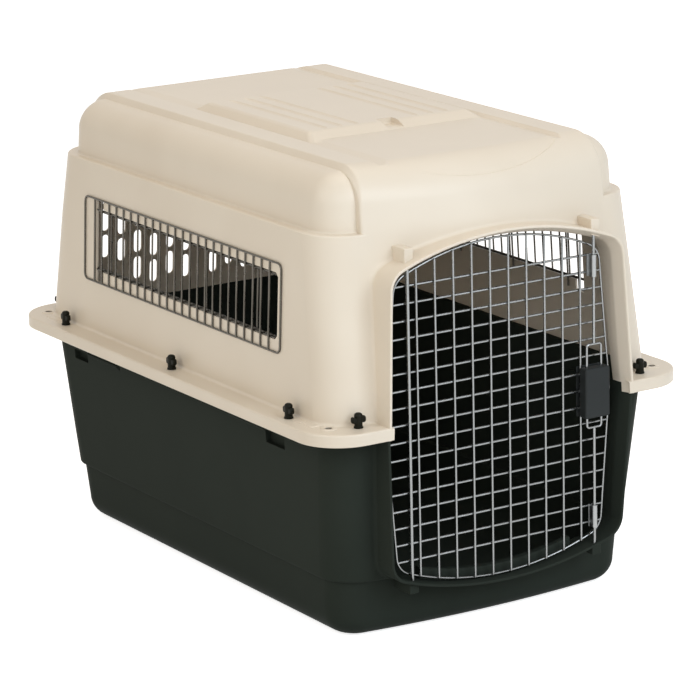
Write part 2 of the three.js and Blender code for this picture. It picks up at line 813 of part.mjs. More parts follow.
// A wall section at a height of the base shell.
function baseSection(z) {
  const aboveStep = grown(baseBelowStep, baseStep);
  if (z <= baseEdgeRadius) return baseAtEdge;
  if (z <= baseStepZ) {
    return between(baseAtEdge, baseBelowStep, (z - baseEdgeRadius) / (baseStepZ - baseEdgeRadius));
  }
  const stepTop = baseStepZ + baseStepRise;
  if (z < stepTop) return between(baseBelowStep, aboveStep, (z - baseStepZ) / baseStepRise);
  return between(aboveStep, baseAtRim, Math.min((z - stepTop) / (skirtBottom - stepTop), 1));
}

// The tray: rounded bottom edge, leaning wall with one outward step, straight rim.
function tray(inset, top) {
  const rings = [];
  for (let i = 0; i <= arcSteps; i++) {
    const angle = Math.PI / 2 * i / arcSteps;
    const z = baseEdgeRadius - (baseEdgeRadius - inset) * Math.cos(angle);
    const turnedIn = baseEdgeRadius * (1 - Math.sin(angle));
    rings.push(planRing(grown(baseAtEdge, -turnedIn), z, inset * Math.sin(angle)));
  }
  for (const z of [baseStepZ, baseStepZ + baseStepRise, skirtBottom, top]) {
    rings.push(planRing(baseSection(z), z, inset));
  }
  return loft(rings);
}

// The strip behind the lower edge of the door, an arc along the sill.
function sillStrip() {
  const shape = new THREE.Shape();
  const sag = (radius, x) => radius - Math.sqrt(radius * radius - x * x);
  for (let i = 0; i <= archSteps; i++) {
    const x = sillStripLeft + (sillStripRight - sillStripLeft) * i / archSteps;
    const z = opening.sill - tenonWall + sag(opening.sillRadius, x);
    if (i === 0) shape.moveTo(x, z);
    else shape.lineTo(x, z);
  }
  for (let i = archSteps; i >= 0; i--) {
    const x = sillStripLeft + (sillStripRight - sillStripLeft) * i / archSteps;
    shape.lineTo(x, opening.sill + sillStripRise + sag(sillStripRadius, x));
  }
  return prismAlongY(shape, sillStripFront, sillStripFront + sillStripDepth);
}

function baseShell() {
  const rim = {
    halfWidth: flangeHalfWidth - skirtWall - tenonGap,
    rear: flangeHalfLength - skirtWall - tenonGap,
    front: flangeHalfLength - skirtWall - tenonGap,
    bow: 0,
    corner: flangeCorner - skirtWall - tenonGap,
  };
  const collarBack = lipY + collarReach;
  const plate = loft([planRing(rim, rimTop - rimPlate), planRing(rim, rimTop)])
    .subtract(collarBlock(baseLip, tenonGap, lipY - overrun,
      frontAt(baseAtRim, openingLip.waistHalf + collarWall), skirtBottom, rimTop + overrun));
  const collar = collarBlock(baseLip, 0, baseLipY, collarBack, 0, skirtBottom - tenonGap);
  const tongue = tongueBlock(0, skirtBottom - overrun, rimTop);
  const lugs = [
    lug(hingeX, hingeY - hingeRod / 2 - lugWall, lugFootZ, opening.footAt),
    lug(latchX, boltY - boltRod / 2 - lugWall, lugFootZ, opening.footAt),
  ];
  const inside = tray(baseWall, rimTop + overrun);
  const shell = joined([tray(0, rimTop), plate, collar, tongue, ...lugs]).subtract(inside);
  const opened = shell.subtract(doorway(baseLip, 0, rimTop + overrun));
  return cut(opened.add(sillStrip().subtract(inside)), [
    post(hingeX, hingeY, hingeFootZ - pinClearance, openingWaistZ, hingeRod / 2 + pinClearance),
    post(latchX, boltY, boltFootZ - pinClearance, openingWaistZ, boltRod / 2 + pinClearance),
    ...flangeHoles(),
  ]);
}

// A straight square bar of the mesh, between two corners of its middle line.
function bar(wire, x0, x1, y0, y1, z0, z1) {
  const half = wire / 2;
  const wide = (low, high) => (low === high ? [low - half, high + half] : [low, high]);
  return block(...wide(x0, x1), ...wide(y0, y1), ...wide(z0, z1));
}

function doorMesh() {
  const shift = new THREE.Vector2(doorCentreX, 0);
  const outlineAt = (offset) => archedOutline(doorOutline, offset).map((point) => point.add(shift));
  const middle = outlineAt(0);
  const frame = new THREE.Shape(outlineAt(doorWire / 2));
  frame.holes.push(new THREE.Path(outlineAt(-doorWire / 2)));
  const bars = [prismAlongY(frame, rungFrontY, rungBackY)];
  for (let i = 0; i < doorUprights; i++) {
    const x = doorUprightFirstX + i * doorUprightPitch;
    const [low, high] = spanOf(middle, 'x', x);
    bars.push(bar(doorWire, x, x, doorUprightY, doorUprightY, low, high));
  }
  for (let i = 0; i < doorRungs; i++) {
    const z = doorRungTopZ - i * doorRungPitch;
    const [left, right] = spanOf(middle, 'y', z);
    bars.push(bar(doorWire, left, right, rungY, rungY, z, z));
  }
  return joined(bars);
}

function hingeRodBody() {
  return post(hingeX, hingeY, hingeFootZ, hingeTopZ, hingeRod / 2, roundSides);
}

// The moulded box of the latch: open at the back, a shelf between the two springs, two screw bosses.
function latchHousing() {
  const x0 = latchX - housingHalfWidth;
  const x1 = latchX + housingHalfWidth;
  const outer = block(x0, x1, housingFrontY, housingBackY, housingFootZ, housingTopZ);
  const shelfLow = housingShelfZ - housingShelf / 2;
  const shelfHigh = housingShelfZ + housingShelf / 2;
  const room = (z0, z1) => block(x0 + housingWall, x1 - housingWall, housingFrontY + housingWall,
    housingBackY + overrun, z0, z1);
  const legHoles = [-forkHalfWidth, forkHalfWidth].map((dx) => post(latchX + dx, boltY,
    housingFootZ - overrun, housingTopZ + overrun, forkRod / 2 + pinClearance));
  const shelf = block(x0 + housingWall / 2, x1 - housingWall / 2,
    housingFrontY + housingWall / 2, housingBackY, shelfLow, shelfHigh);
  const bosses = [-bossSpread, bossSpread].map((dx) => {
    const start = housingFrontY + housingWall / 2;
    const geometry = new THREE.CylinderGeometry(bossRadius, bossRadius, rungBackY - start, rodSides);
    geometry.translate(latchX + dx, (rungBackY + start) / 2, housingShelfZ);
    return solid(geometry);
  });
  const grooveHalf = doorWire / 2 + wireClearance;
  const wireGroove = block(doorUprightLastX - grooveHalf, doorUprightLastX + grooveHalf,
    doorUprightY - grooveHalf, housingBackY + overrun, housingFootZ - overrun, housingTopZ + overrun);
  const rooms = [room(housingFootZ + housingWall, shelfLow), room(shelfHigh, housingTopZ - housingWall)];
  const shell = cut(outer, [...rooms, ...legHoles]);
  return joined([shell, shelf, ...bosses]).subtract(wireGroove);
}

function latchBackPlate() {
  const front = rungBackY + seamGap;
  return block(latchX - housingHalfWidth, latchX + housingHalfWidth, front, front + backPlate,
    housingFootZ, housingTopZ);
}

// One bolt: an inner foot, a fork of two legs, a crossbar to squeeze, and the rod that locks the door.
function latchBolt(footZ, wallZ, barZ, tipZ) {
  const legs = [-forkHalfWidth, forkHalfWidth].map((dx) => post(latchX + dx, boltY,
    Math.min(wallZ, barZ), Math.max(wallZ, barZ), forkRod / 2));
  const foot = block(latchX - forkFootHalf, latchX + forkFootHalf,
    boltY - forkFootDepth / 2, boltY + forkFootDepth / 2, Math.min(footZ, wallZ), Math.max(footZ, wallZ));
  const barReach = forkHalfWidth + forkRod / 2;
  const bridge = crossbar(latchX - barReach, latchX + barReach, boltY, barZ, forkRod / 2);
  const rod = post(latchX, boltY, Math.min(barZ, tipZ), Math.max(barZ, tipZ), boltRod / 2);
  return joined([foot, ...legs, bridge, rod]);
}

const upperFootTop = housingTopZ - housingWall - seamGap;
const upperFootLow = upperFootTop - forkFootHeight;
const lowerFootLow = housingFootZ + housingWall + seamGap;
const lowerFootTop = lowerFootLow + forkFootHeight;

// A hidden return spring, as a plain tube between its two seats.
function latchSpring(z0, z1) {
  const inner = springRadius - springWire;
  const profile = [[inner, z0], [springRadius, z0], [springRadius, z1], [inner, z1], [inner, z0]];
  const geometry = new THREE.LatheGeometry(profile.map(([r, z]) => new THREE.Vector2(r, z)), rodSides);
  geometry.rotateX(Math.PI / 2);
  geometry.translate(latchX, boltY, 0);
  return solid(geometry);
}

// A folded sheet with two ears that the locking rod slides in.
function boltGuide({ low, high, halfWidth }) {
  const back = rungFrontY - seamGap;
  const earFront = boltY - boltRod / 2 - tenonGap - guideLip;
  const sheet = block(latchX - halfWidth, latchX + halfWidth, back - guideSheet, back, low, high);
  const ears = [[low, low + guideSheet], [high - guideSheet, high]].map(([z0, z1]) => block(
    latchX - halfWidth, latchX + halfWidth, earFront, back, z0, z1));
  const bore = post(latchX, boltY, low - overrun, high + overrun, boltRod / 2 + tenonGap);
  return joined([sheet, ...ears]).subtract(bore);
}

// The left window grille, drawn flat: x is the distance in from the wall, z is measured from mid window.
function leftGrille() {
  const middle = (windowLow + windowHigh) / 2;
  const half = grilleWire / 2;
  const low = grilleLow - middle;
  const high = grilleHigh - middle;
  const at = -grilleOut;
  const rounded = (grow) => {
    const [y0, y1, z0, z1] = [grilleFront - grow, grilleRear + grow, low - grow, high + grow];
    const bevel = grilleCorner + grow;
    const corners = [
      [y0 + bevel, z0], [y1 - bevel, z0], [y1, z0 + bevel], [y1, z1 - bevel],
      [y1 - bevel, z1], [y0 + bevel, z1], [y0, z1 - bevel], [y0, z0 + bevel],
    ];
    return corners.map(([y, z]) => new THREE.Vector2(y, z));
  };
  const loop = new THREE.Shape(rounded(half));
  loop.holes.push(new THREE.Path(rounded(-half)));
  const bars = [prismAlongX(loop, at - half, at + half)];
  const pitch = (grilleLength - 2 * grilleEndCell) / (grilleUprights - 1);
  for (let i = 0; i < grilleUprights; i++) {
    const y = grilleFront + grilleEndCell + i * pitch;
    bars.push(bar(grilleWire, at, at, y, y, low, high));
  }
  const [front, rear] = [windowFront + windowCorner, windowRear - grilleEdgeGap];
  for (const sign of [-1, 1]) {
    const edge = (windowHigh - windowLow) / 2 - half - grilleEdgeGap;
    const rail = sign * edge;
    const second = sign * (edge - grilleSecondRailShift);
    bars.push(bar(grilleWire, grilleRailIn, grilleRailIn, front, rear, rail, rail));
    bars.push(bar(grilleWire, grilleSecondRailIn, grilleSecondRailIn, front, rear, second, second));
  }
  const clampHalf = (windowHigh - windowLow) / 2 + clampReach;
  for (const share of clampShares) {
    const y = grilleFront + share * grilleLength;
    bars.push(bar(grilleWire, clampIn, clampIn, y, y, -clampHalf, clampHalf));
  }
  return joined(bars);
}

// A wing nut seen from its own foot: a round body with a blind bore and a crosswise grip on top.
function wingNut() {
  const bore = boltHole / 2;
  const profile = [
    [0, nutBore], [bore, nutBore], [bore, 0], [nutBaseRadius, 0], [nutBaseRadius, nutBase],
    [nutBodyRadius, nutBase], [nutBodyRadius - nutBase / 2, nutBody],
    [nutBodyRadius - nutBase, nutHeight - nutBase], [0, nutHeight - nutBase],
  ];
  const geometry = new THREE.LatheGeometry(profile.map(([r, z]) => new THREE.Vector2(r, z)), rodSides);
  geometry.rotateX(Math.PI / 2);
  const low = nutHeight - nutWingHeight;
  const bevel = nutBase;
  const half = nutWingLength / 2;
  const gripOutline = [
    [-half + 2 * bevel, low], [half - 2 * bevel, low], [half, low + bevel], [half, nutHeight - bevel],
    [half - bevel, nutHeight], [-half + bevel, nutHeight], [-half, nutHeight - bevel], [-half, low + bevel],
  ];
  const grip = new THREE.Shape(gripOutline.map(([x, z]) => new THREE.Vector2(x, z)));
  const room = post(0, 0, -overrun, nutBore, bore);
  return solid(geometry).add(prismAlongY(grip, -nutWingWidth / 2, nutWingWidth / 2).subtract(room));
}

// A flange bolt: head under the rim, shank up into the wing nut. Zero is the top of the flange.
function flangeBolt() {
  const seat = rimTop - rimPlate - nutGap - flangeTop;
  const shank = boltShank / 2;
  const profile = [
    [0, seat - boltHead], [boltHeadRadius, seat - boltHead], [boltHeadRadius, seat], [shank, seat],
    [shank, boltThreadTop], [0, boltThreadTop],
  ];
  const geometry = new THREE.LatheGeometry(profile.map(([r, z]) => new THREE.Vector2(r, z)), rodSides);
  geometry.rotateX(Math.PI / 2);
  return solid(geometry);
}

// Materials
const materials = {
  beige: new THREE.MeshStandardMaterial({ color: 0xddd0b8, roughness: 0.42, metalness: 0 }),
  dark: new THREE.MeshStandardMaterial({ color: 0x2c322d, roughness: 0.5, metalness: 0 }),
  zinc: new THREE.MeshStandardMaterial({ color: 0xb9bcbe, roughness: 0.35, metalness: 1 }),
  charcoal: new THREE.MeshStandardMaterial({ color: 0x3a3c3c, roughness: 0.45, metalness: 0 }),
  olive: new THREE.MeshStandardMaterial({ color: 0x23241a, roughness: 0.5, metalness: 0 }),
};

const crate = new THREE.Group();

function place(parent, name, body, material) {
  const mesh = new THREE.Mesh(geometryOf(body), material.clone());
  mesh.name = name;
  parent.add(mesh);
  return mesh;
}

place(crate, 'base_shell', baseShell(), materials.dark);
place(crate, 'top_shell', topShell(), materials.beige);

const door = new THREE.Group();
crate.add(door);
place(door, 'door_mesh', doorMesh(), materials.zinc);
place(door, 'door_hinge_rod', hingeRodBody(), materials.zinc);
place(door, 'latch_housing', latchHousing(), materials.charcoal);
place(door, 'latch_back_plate', latchBackPlate(), materials.charcoal);
const upperBolt = latchBolt(upperFootLow, upperFootTop, upperBarZ, boltTopZ);
const lowerBolt = latchBolt(lowerFootTop, lowerFootLow, lowerBarZ, boltFootZ);
place(door, 'upper_latch_bolt', upperBolt, materials.zinc);
place(door, 'lower_latch_bolt', lowerBolt, materials.zinc);
const shelfTop = housingShelfZ + housingShelf / 2;
const shelfFoot = housingShelfZ - housingShelf / 2;
const upperSpring = latchSpring(shelfTop + seamGap, upperFootLow - seamGap);
const lowerSpring = latchSpring(lowerFootTop + seamGap, shelfFoot - seamGap);
place(door, 'upper_latch_spring', upperSpring, materials.zinc);
place(door, 'lower_latch_spring', lowerSpring, materials.zinc);
place(door, 'upper_bolt_guide', boltGuide(guides.upper), materials.zinc);
place(door, 'lower_bolt_guide', boltGuide(guides.lower), materials.zinc);

const windowMiddle = (windowLow + windowHigh) / 2;
const wallLean = Math.atan2(topAtWaist.halfWidth - topAtLedge.halfWidth, ledgeZ - waistZ);
for (const [name, side] of [['side_grille_left', -1], ['side_grille_right', 1]]) {
  const drawn = side < 0 ? leftGrille() : leftGrille().rotate([0, 0, halfTurn]);
  const grille = place(crate, name, drawn, materials.zinc);
  grille.position.set(side * topSection(windowMiddle).halfWidth, 0, windowMiddle);
  grille.rotation.y = -side * wallLean;
}

for (const [ending, x, y] of flangeBolts) {
  const fastener = new THREE.Group();
  fastener.position.set(x, y, flangeTop);
  crate.add(fastener);
  place(fastener, `flange_bolt_${ending}`, flangeBolt(), materials.zinc);
  const nut = place(fastener, `wing_nut_${ending}`, wingNut(), materials.olive);
  nut.position.z = nutGap;
  nut.rotation.z = Math.abs(x) === sideBoltX ? Math.PI / 2 : 0;
}

export default crate;
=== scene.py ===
"""Plastic dog crate with a wire door: two moulded shells bolted at a flange, a welded wire door on a
hinge rod with a squeeze latch, wire grilles in the side windows and wing nuts round the flange.

Lengths are in millimetres and become metres when a piece is put into the scene.
+X is the right of the crate, -Y is out of the door, +Z is up.
"""
from math import asin, atan2, cos, pi, radians, sin, sqrt
import bmesh
import bpy
import numpy as np
from mathutils import Matrix, Vector


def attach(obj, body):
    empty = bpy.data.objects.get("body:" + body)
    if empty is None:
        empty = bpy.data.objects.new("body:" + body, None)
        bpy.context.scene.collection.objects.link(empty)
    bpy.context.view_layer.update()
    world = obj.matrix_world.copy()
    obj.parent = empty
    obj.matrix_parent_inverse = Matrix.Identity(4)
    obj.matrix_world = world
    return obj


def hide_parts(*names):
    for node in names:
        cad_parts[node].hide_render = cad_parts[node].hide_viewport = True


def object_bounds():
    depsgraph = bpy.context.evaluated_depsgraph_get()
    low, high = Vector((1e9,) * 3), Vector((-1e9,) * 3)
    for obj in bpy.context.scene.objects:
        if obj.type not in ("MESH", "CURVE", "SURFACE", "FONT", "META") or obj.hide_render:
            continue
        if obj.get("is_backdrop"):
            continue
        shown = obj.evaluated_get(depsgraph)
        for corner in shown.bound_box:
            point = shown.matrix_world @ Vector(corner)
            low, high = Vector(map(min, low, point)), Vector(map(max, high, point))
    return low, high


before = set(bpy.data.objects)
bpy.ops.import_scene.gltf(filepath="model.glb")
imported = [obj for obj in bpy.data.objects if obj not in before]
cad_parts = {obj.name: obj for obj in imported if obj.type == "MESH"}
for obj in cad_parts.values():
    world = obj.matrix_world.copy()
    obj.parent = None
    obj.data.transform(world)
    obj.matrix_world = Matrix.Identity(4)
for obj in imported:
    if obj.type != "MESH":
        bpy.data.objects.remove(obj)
bounds_at_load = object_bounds()

# Overall sizes of the shells
FLANGE = np.array([314.5, 461.4, 461.4, 0.0, 69.0])
FLANGE_TOP = 326.0
SKIRT_BOTTOM = 308.0
SKIRT_WALL = 3.2
PLATE_UNDER = 322.3
RIM_TOP = 322.0
RIM_PLATE = 3.5
TOP_WALL = 3.2
BASE_WALL = 3.5

# Wall sections: half width, rear, front, bow of the front, corner radius
WALL_BOW = 27.0
TOP_SEAM = np.array([279.0, 426.0, 422.0, WALL_BOW, 51.0])
TOP_WAIST = np.array([270.6, 411.0, 406.0, WALL_BOW, 60.0])
TOP_LEDGE = np.array([265.5, 399.0, 397.0, WALL_BOW, 68.0])
BASE_EDGE = np.array([246.8, 392.3, 390.3, 12.0, 50.0])
BASE_BELOW_STEP = np.array([250.0, 401.0, 396.0, 13.0, 52.0])
BASE_RIM = np.array([273.0, 424.0, 422.0, 16.0, 49.0])
WAIST_Z = 488.0
LEDGE_Z = 587.0
LEDGE_DEPTH = 14.0
REAR_LEDGE_DEPTH = 18.0
SHOULDER_TOP = 667.5
SHOULDER_RADIUS = 46.0
SPRING_Z = SHOULDER_TOP - SHOULDER_RADIUS
SHOULDER_LEAN = 2.2
BASE_EDGE_RADIUS = 34.0
BASE_STEP_Z = 87.0
BASE_STEP_RISE = 2.0
BASE_STEP = 7.5

# Roof band, with the line of the step that ends its field on the hood
BAND_HALF = 206.0
BAND_TAPER = 2.0
RAIL_TOP = 676.0
HOOD_RADIUS = 50.0
REAR_RADIUS = 56.0
HOOD_BOW = 12.0
FIELD_DEPTH = 1.3
ROOF_INNER = 668.4
FIELD_HALF = 133.0
GROOVE_X = 152.5
GROOVE_EDGE_X = 158.6
GROOVE_BOTTOM = 671.6
STEP_LOW, STEP_RISE, STEP_HALF, STEP_HALF_WIDTH = 647.5, 24.0, 141.0, 0.6
PAD_TOP = 684.0
PAD_FOOT = 664.0

# Door opening behind the lip, the same outline at the lip, and the door. The lip leans back away from
# the seam: start of its depth, slope, height where the slope starts, and which way it goes.
OPENING = dict(waist_half=198.0, waist=308.0, top_half=186.0, top_at=530.0, foot_half=191.0, foot_at=110.0,
               crown=565.0, crown_radius=488.0, sill=66.5, sill_radius=560.0, corner=31.0)
OPENING_LIP = dict(OPENING, waist_half=205.4, top_half=193.4, top_at=538.4, foot_half=195.0, crown=573.4)
TOP_LIP = (-461.4, 0.038, 326.0, 1.0)
BASE_LIP = (-457.8, 0.055, 308.0, -1.0)
LIP_DEPTH = 22.0
LIP_WALL = 4.0
TONGUE_WALL = 3.6
TONGUE_FRONT = 14.0
DOOR = dict(waist_half=192.0, waist=314.0, top_half=174.0, top_at=518.0, foot_half=176.0, foot_at=117.0,
            crown=561.7, crown_radius=395.0, sill=70.3, sill_radius=449.0, corner=30.0)
DOOR_CENTRE_X = -4.0
WIRE = 1.65
UPRIGHTS, UPRIGHT_X, UPRIGHT_PITCH, UPRIGHT_Y = 10, -142.8, 30.9, -432.05
RUNGS, RUNG_Z, RUNG_PITCH, RUNG_Y = 17, 514.1, 24.79, -429.0
HINGE_X, HINGE_Y, HINGE_R = -158.0, -433.45, 2.5
LATCH_X, BOLT_Y, BOLT_R = 153.5, -439.6, 2.2

# Bolts of the flange by name, and the holes for cable ties, with their places in plan
SIDE_BOLT_X, END_BOLT_X = 293, 241
SIDES = (("left", -1), ("right", 1))
FLANGE_BOLTS = [(f"{side}_{along}", sign * SIDE_BOLT_X, y) for side, sign in SIDES
                for along, y in (("front", -333), ("middle", -4), ("rear", 325))]
FLANGE_BOLTS += [(f"{end}_{side}", sign * END_BOLT_X, y) for end, y in (("front", -432), ("rear", 437))
                 for side, sign in SIDES]
TIE_PLACES = [(-277, -412), (277, -412), (-277, 412), (277, 412)]

# Fineness of the surfaces, and the angle in degrees up to which they are shaded smooth
BOW_STEPS = 36
CORNER_STEPS = 14
SMOOTH_ANGLE = 32.0

# Metres in a millimetre
METRES = 0.001


def grown(section, by):
    """The section moved outwards all round by a distance: every size but the bow grows by it."""
    return section + by * np.array([1, 1, 1, 0, 1.0])


def plan_ring(section, z, inset=0.0):
    """A ring in plan at one height: a rounded rectangle whose front edge bows forward as a parabola."""
    half, rear, front, bow, corner = section
    c = max(corner - inset, 0.5)
    straight = half - inset - c
    f, r = front - inset, rear - inset
    t = np.linspace(-1, 1, BOW_STEPS + 1)
    parts = [np.c_[straight * t, -f - bow * (1 - t * t)]]
    for cx, cy, start, first in ((straight, c - f, -pi / 2, 1), (straight, r - c, 0, 0),
                                 (-straight, r - c, pi / 2, 0), (-straight, c - f, pi, 0)):
        a = start + pi / 2 * np.arange(first, CORNER_STEPS + 1) / CORNER_STEPS
        parts.append(np.c_[cx + c * np.cos(a), cy + c * np.sin(a)])
    ring = np.vstack(parts)[:-1]
    return np.c_[ring, np.full(len(ring), float(z))]


def top_section(z):
    """Wall section of the top shell at a height: straight between seam and waist, and on from there."""
    if z <= WAIST_Z:
        return TOP_SEAM + (TOP_WAIST - TOP_SEAM) * (z - FLANGE_TOP) / (WAIST_Z - FLANGE_TOP)
    return TOP_WAIST + (TOP_LEDGE - TOP_WAIST) * (z - WAIST_Z) / (LEDGE_Z - WAIST_Z)


def base_section(z):
    """Wall section of the base shell at a height, with one outward step."""
    above = grown(BASE_BELOW_STEP, BASE_STEP)
    top = BASE_STEP_Z + BASE_STEP_RISE
    if z <= BASE_EDGE_RADIUS:
        return BASE_EDGE
    if z <= BASE_STEP_Z:
        return (BASE_EDGE + (BASE_BELOW_STEP - BASE_EDGE) * (z - BASE_EDGE_RADIUS)
                / (BASE_STEP_Z - BASE_EDGE_RADIUS))
    if z < top:
        return BASE_BELOW_STEP + (above - BASE_BELOW_STEP) * (z - BASE_STEP_Z) / BASE_STEP_RISE
    return above + (BASE_RIM - above) * min((z - top) / (SKIRT_BOTTOM - top), 1)


def wall_front(section, x):
    """Y of the front wall of a section at x: a parabola between the corners and an arc beyond them."""
    half, _, front, bow, corner = section
    straight = half - corner
    past = max(abs(x) - straight, 0.0)
    along = min(abs(x) / straight, 1.0)
    return -front - bow * (1 - along * along) + corner - sqrt(max(corner * corner - past * past, 0.0))


def grid_faces(rows, columns, wrap_rows=False, wrap_columns=False):
    """Quads of a grid of points stored row by row."""
    r = np.arange(rows if wrap_rows else rows - 1)
    c = np.arange(columns if wrap_columns else columns - 1)
    r, c = np.meshgrid(r, c, indexing="ij")
    a = r * columns + c
    b = r * columns + (c + 1) % columns
    d = ((r + 1) % rows) * columns + c
    e = ((r + 1) % rows) * columns + (c + 1) % columns
    return np.stack([a, b, e, d], -1).reshape(-1, 4).tolist()


def closed_loft(rings):
    """A closed skin through rings of equal length, each end fanned shut to its middle."""
    count = len(rings[0])
    points = [np.asarray(r, float) for r in rings]
    faces = grid_faces(len(rings), count, wrap_columns=True)
    total = len(rings) * count
    ends = []
    for first, up in ((0, False), ((len(rings) - 1) * count, True)):
        ring = points[0] if not up else points[-1]
        ends.append(ring.mean(0))
        middle = total + len(ends) - 1
        for i in range(count):
            a, b = first + i, first + (i + 1) % count
            faces.append([a, b, middle] if up else [b, a, middle])
    return np.vstack(points + [np.array(ends)]), faces


def outward(points, faces):
    """The same skin with its faces turned outwards, judged by the sign of its volume."""
    p = np.asarray(points, float)
    volume = 0.0
    for face in faces:
        a = p[face[0]]
        for k in range(1, len(face) - 1):
            volume += float(np.dot(a, np.cross(p[face[k]], p[face[k + 1]])))
    return (p, faces) if volume > 0 else (p, [f[::-1] for f in faces])


def merged(*skins):
    """Several skins as one list of points and faces."""
    points, faces, offset = [], [], 0
    for p, f in skins:
        points.append(np.asarray(p, float))
        faces += [[i + offset for i in face] for face in f]
        offset += len(p)
    return np.vstack(points), faces


def linked(name, data):
    """A new object with this data, linked into the scene."""
    obj = bpy.data.objects.new(name, data)
    bpy.context.scene.collection.objects.link(obj)
    return obj


def raw_object(name, skin):
    """An object in millimetres, for joining and cutting."""
    points, faces = outward(*skin)
    mesh = bpy.data.meshes.new(name)
    mesh.from_pydata(points.tolist(), [], faces)
    mesh.update()
    return linked(name, mesh)


def combined(name, first, steps):
    """A body after a list of steps, each a skin joined to it (+), cut from it (-) or kept common (*)."""
    base = raw_object(name, first)
    kinds = {"+": "UNION", "-": "DIFFERENCE", "*": "INTERSECT"}
    tools = []
    for sign, skin in steps:
        tool = raw_object(name + "_tool", skin)
        modifier = base.modifiers.new("step", "BOOLEAN")
        modifier.operation = kinds[sign]
        modifier.solver = "MANIFOLD"
        modifier.object = tool
        tools.append(tool)
    bpy.context.view_layer.update()
    result = base.evaluated_get(bpy.context.evaluated_depsgraph_get())
    mesh = result.to_mesh()
    points = np.zeros(len(mesh.vertices) * 3)
    mesh.vertices.foreach_get("co", points)
    faces = [list(p.vertices) for p in mesh.polygons]
    result.to_mesh_clear()
    for obj in [base, *tools]:
        mesh = obj.data
        bpy.data.objects.remove(obj)
        bpy.data.meshes.remove(mesh)
    return points.reshape(-1, 3), faces


def piece(name, skin, material, body, nodes):
    """Puts a finished skin into the scene in metres, shaded smooth up to an angle, riding on its body."""
    points, faces = skin
    mesh = bpy.data.meshes.new(name)
    mesh.from_pydata((np.asarray(points) * METRES).tolist(), [], faces)
    mesh.validate()
    mesh.polygons.foreach_set("use_smooth", np.ones(len(mesh.polygons), bool))
    mesh.set_sharp_from_angle(angle=radians(SMOOTH_ANGLE))
    mesh.materials.append(material)
    mesh.update()
    obj = linked(name, mesh)
    weighted = obj.modifiers.new("normals", "WEIGHTED_NORMAL")
    weighted.keep_sharp = True
    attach(obj, body)
    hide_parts(*nodes)


def taken(mesh):
    """The points and faces of a mesh being edited, which is freed."""
    mesh.verts.ensure_lookup_table()
    points = np.array([v.co[:] for v in mesh.verts])
    faces = [[v.index for v in f.verts] for f in mesh.faces]
    mesh.free()
    return points, faces


def block(x0, x1, y0, y1, z0, z1, edge=0.0, steps=3):
    """A box between two corners, its edges rounded to a radius."""
    mesh = bmesh.new()
    bmesh.ops.create_cube(mesh, size=1.0)
    for vertex in mesh.verts:
        vertex.co = Vector((x0 + (vertex.co.x + 0.5) * (x1 - x0), y0 + (vertex.co.y + 0.5) * (y1 - y0),
                            z0 + (vertex.co.z + 0.5) * (z1 - z0)))
    if edge:
        bmesh.ops.bevel(mesh, geom=mesh.edges[:], offset=edge, segments=steps, profile=0.5, affect="EDGES")
    return taken(mesh)


def turned(profile, x=0.0, y=0.0, z=0.0, sides=32):
    """A profile of radius and height turned round an upright axis. Both ends lie on the axis."""
    a = 2 * pi * np.arange(sides) / sides
    rings = [np.c_[x + r * np.cos(a), y + r * np.sin(a), np.full(sides, z + h)] for r, h in profile[1:-1]]
    points = np.vstack(rings + [[[x, y, z + profile[0][1]]], [[x, y, z + profile[-1][1]]]])
    faces = grid_faces(len(rings), sides, wrap_columns=True)
    low, high, last = len(rings) * sides, len(rings) * sides + 1, (len(rings) - 1) * sides
    for i in range(sides):
        j = (i + 1) % sides
        faces.append([j, i, low])
        faces.append([last + i, last + j, high])
    return points, faces


def post(x, y, z0, z1, radius, sides=32):
    """An upright cylinder."""
    return turned([(0, 0), (radius, 0), (radius, z1 - z0), (0, z1 - z0)], x, y, z0, sides)


def tube(path, radius, sides=12, closed=False):
    """A round wire along a path: a circle carried square to the path without twist, its ends domed."""
    path = np.asarray(path, float)
    tangent = np.roll(path, -1, 0) - np.roll(path, 1, 0) if closed else np.gradient(path, axis=0)
    tangent /= np.linalg.norm(tangent, axis=1)[:, None]
    normal = np.cross(tangent[0], [0.31, 0.87, 0.22])
    circle = 2 * pi * np.arange(sides) / sides
    rings = []
    for point, along in zip(path, tangent):
        normal = normal - along * np.dot(normal, along)
        normal /= np.linalg.norm(normal)
        side = np.cross(along, normal)
        rings.append(point + radius * (np.outer(np.cos(circle), normal) + np.outer(np.sin(circle), side)))
    if closed:
        return np.vstack(rings), grid_faces(len(rings), sides, wrap_rows=True, wrap_columns=True)
    ends = []
    for ring, middle, inward in ((rings[0], path[0], tangent[0]), (rings[-1], path[-1], -tangent[-1])):
        ends.append([middle + (ring - middle) * size + inward * radius * depth
                     for size, depth in ((0.55, 0.0), (0.9, 0.12), (1.0, 0.3))])
    return closed_loft(ends[0] + rings[1:-1] + ends[1][::-1])


def wire(p0, p1, radius, sides=12):
    """A straight round wire between two points."""
    return tube(np.linspace(p0, p1, 3), radius, sides)


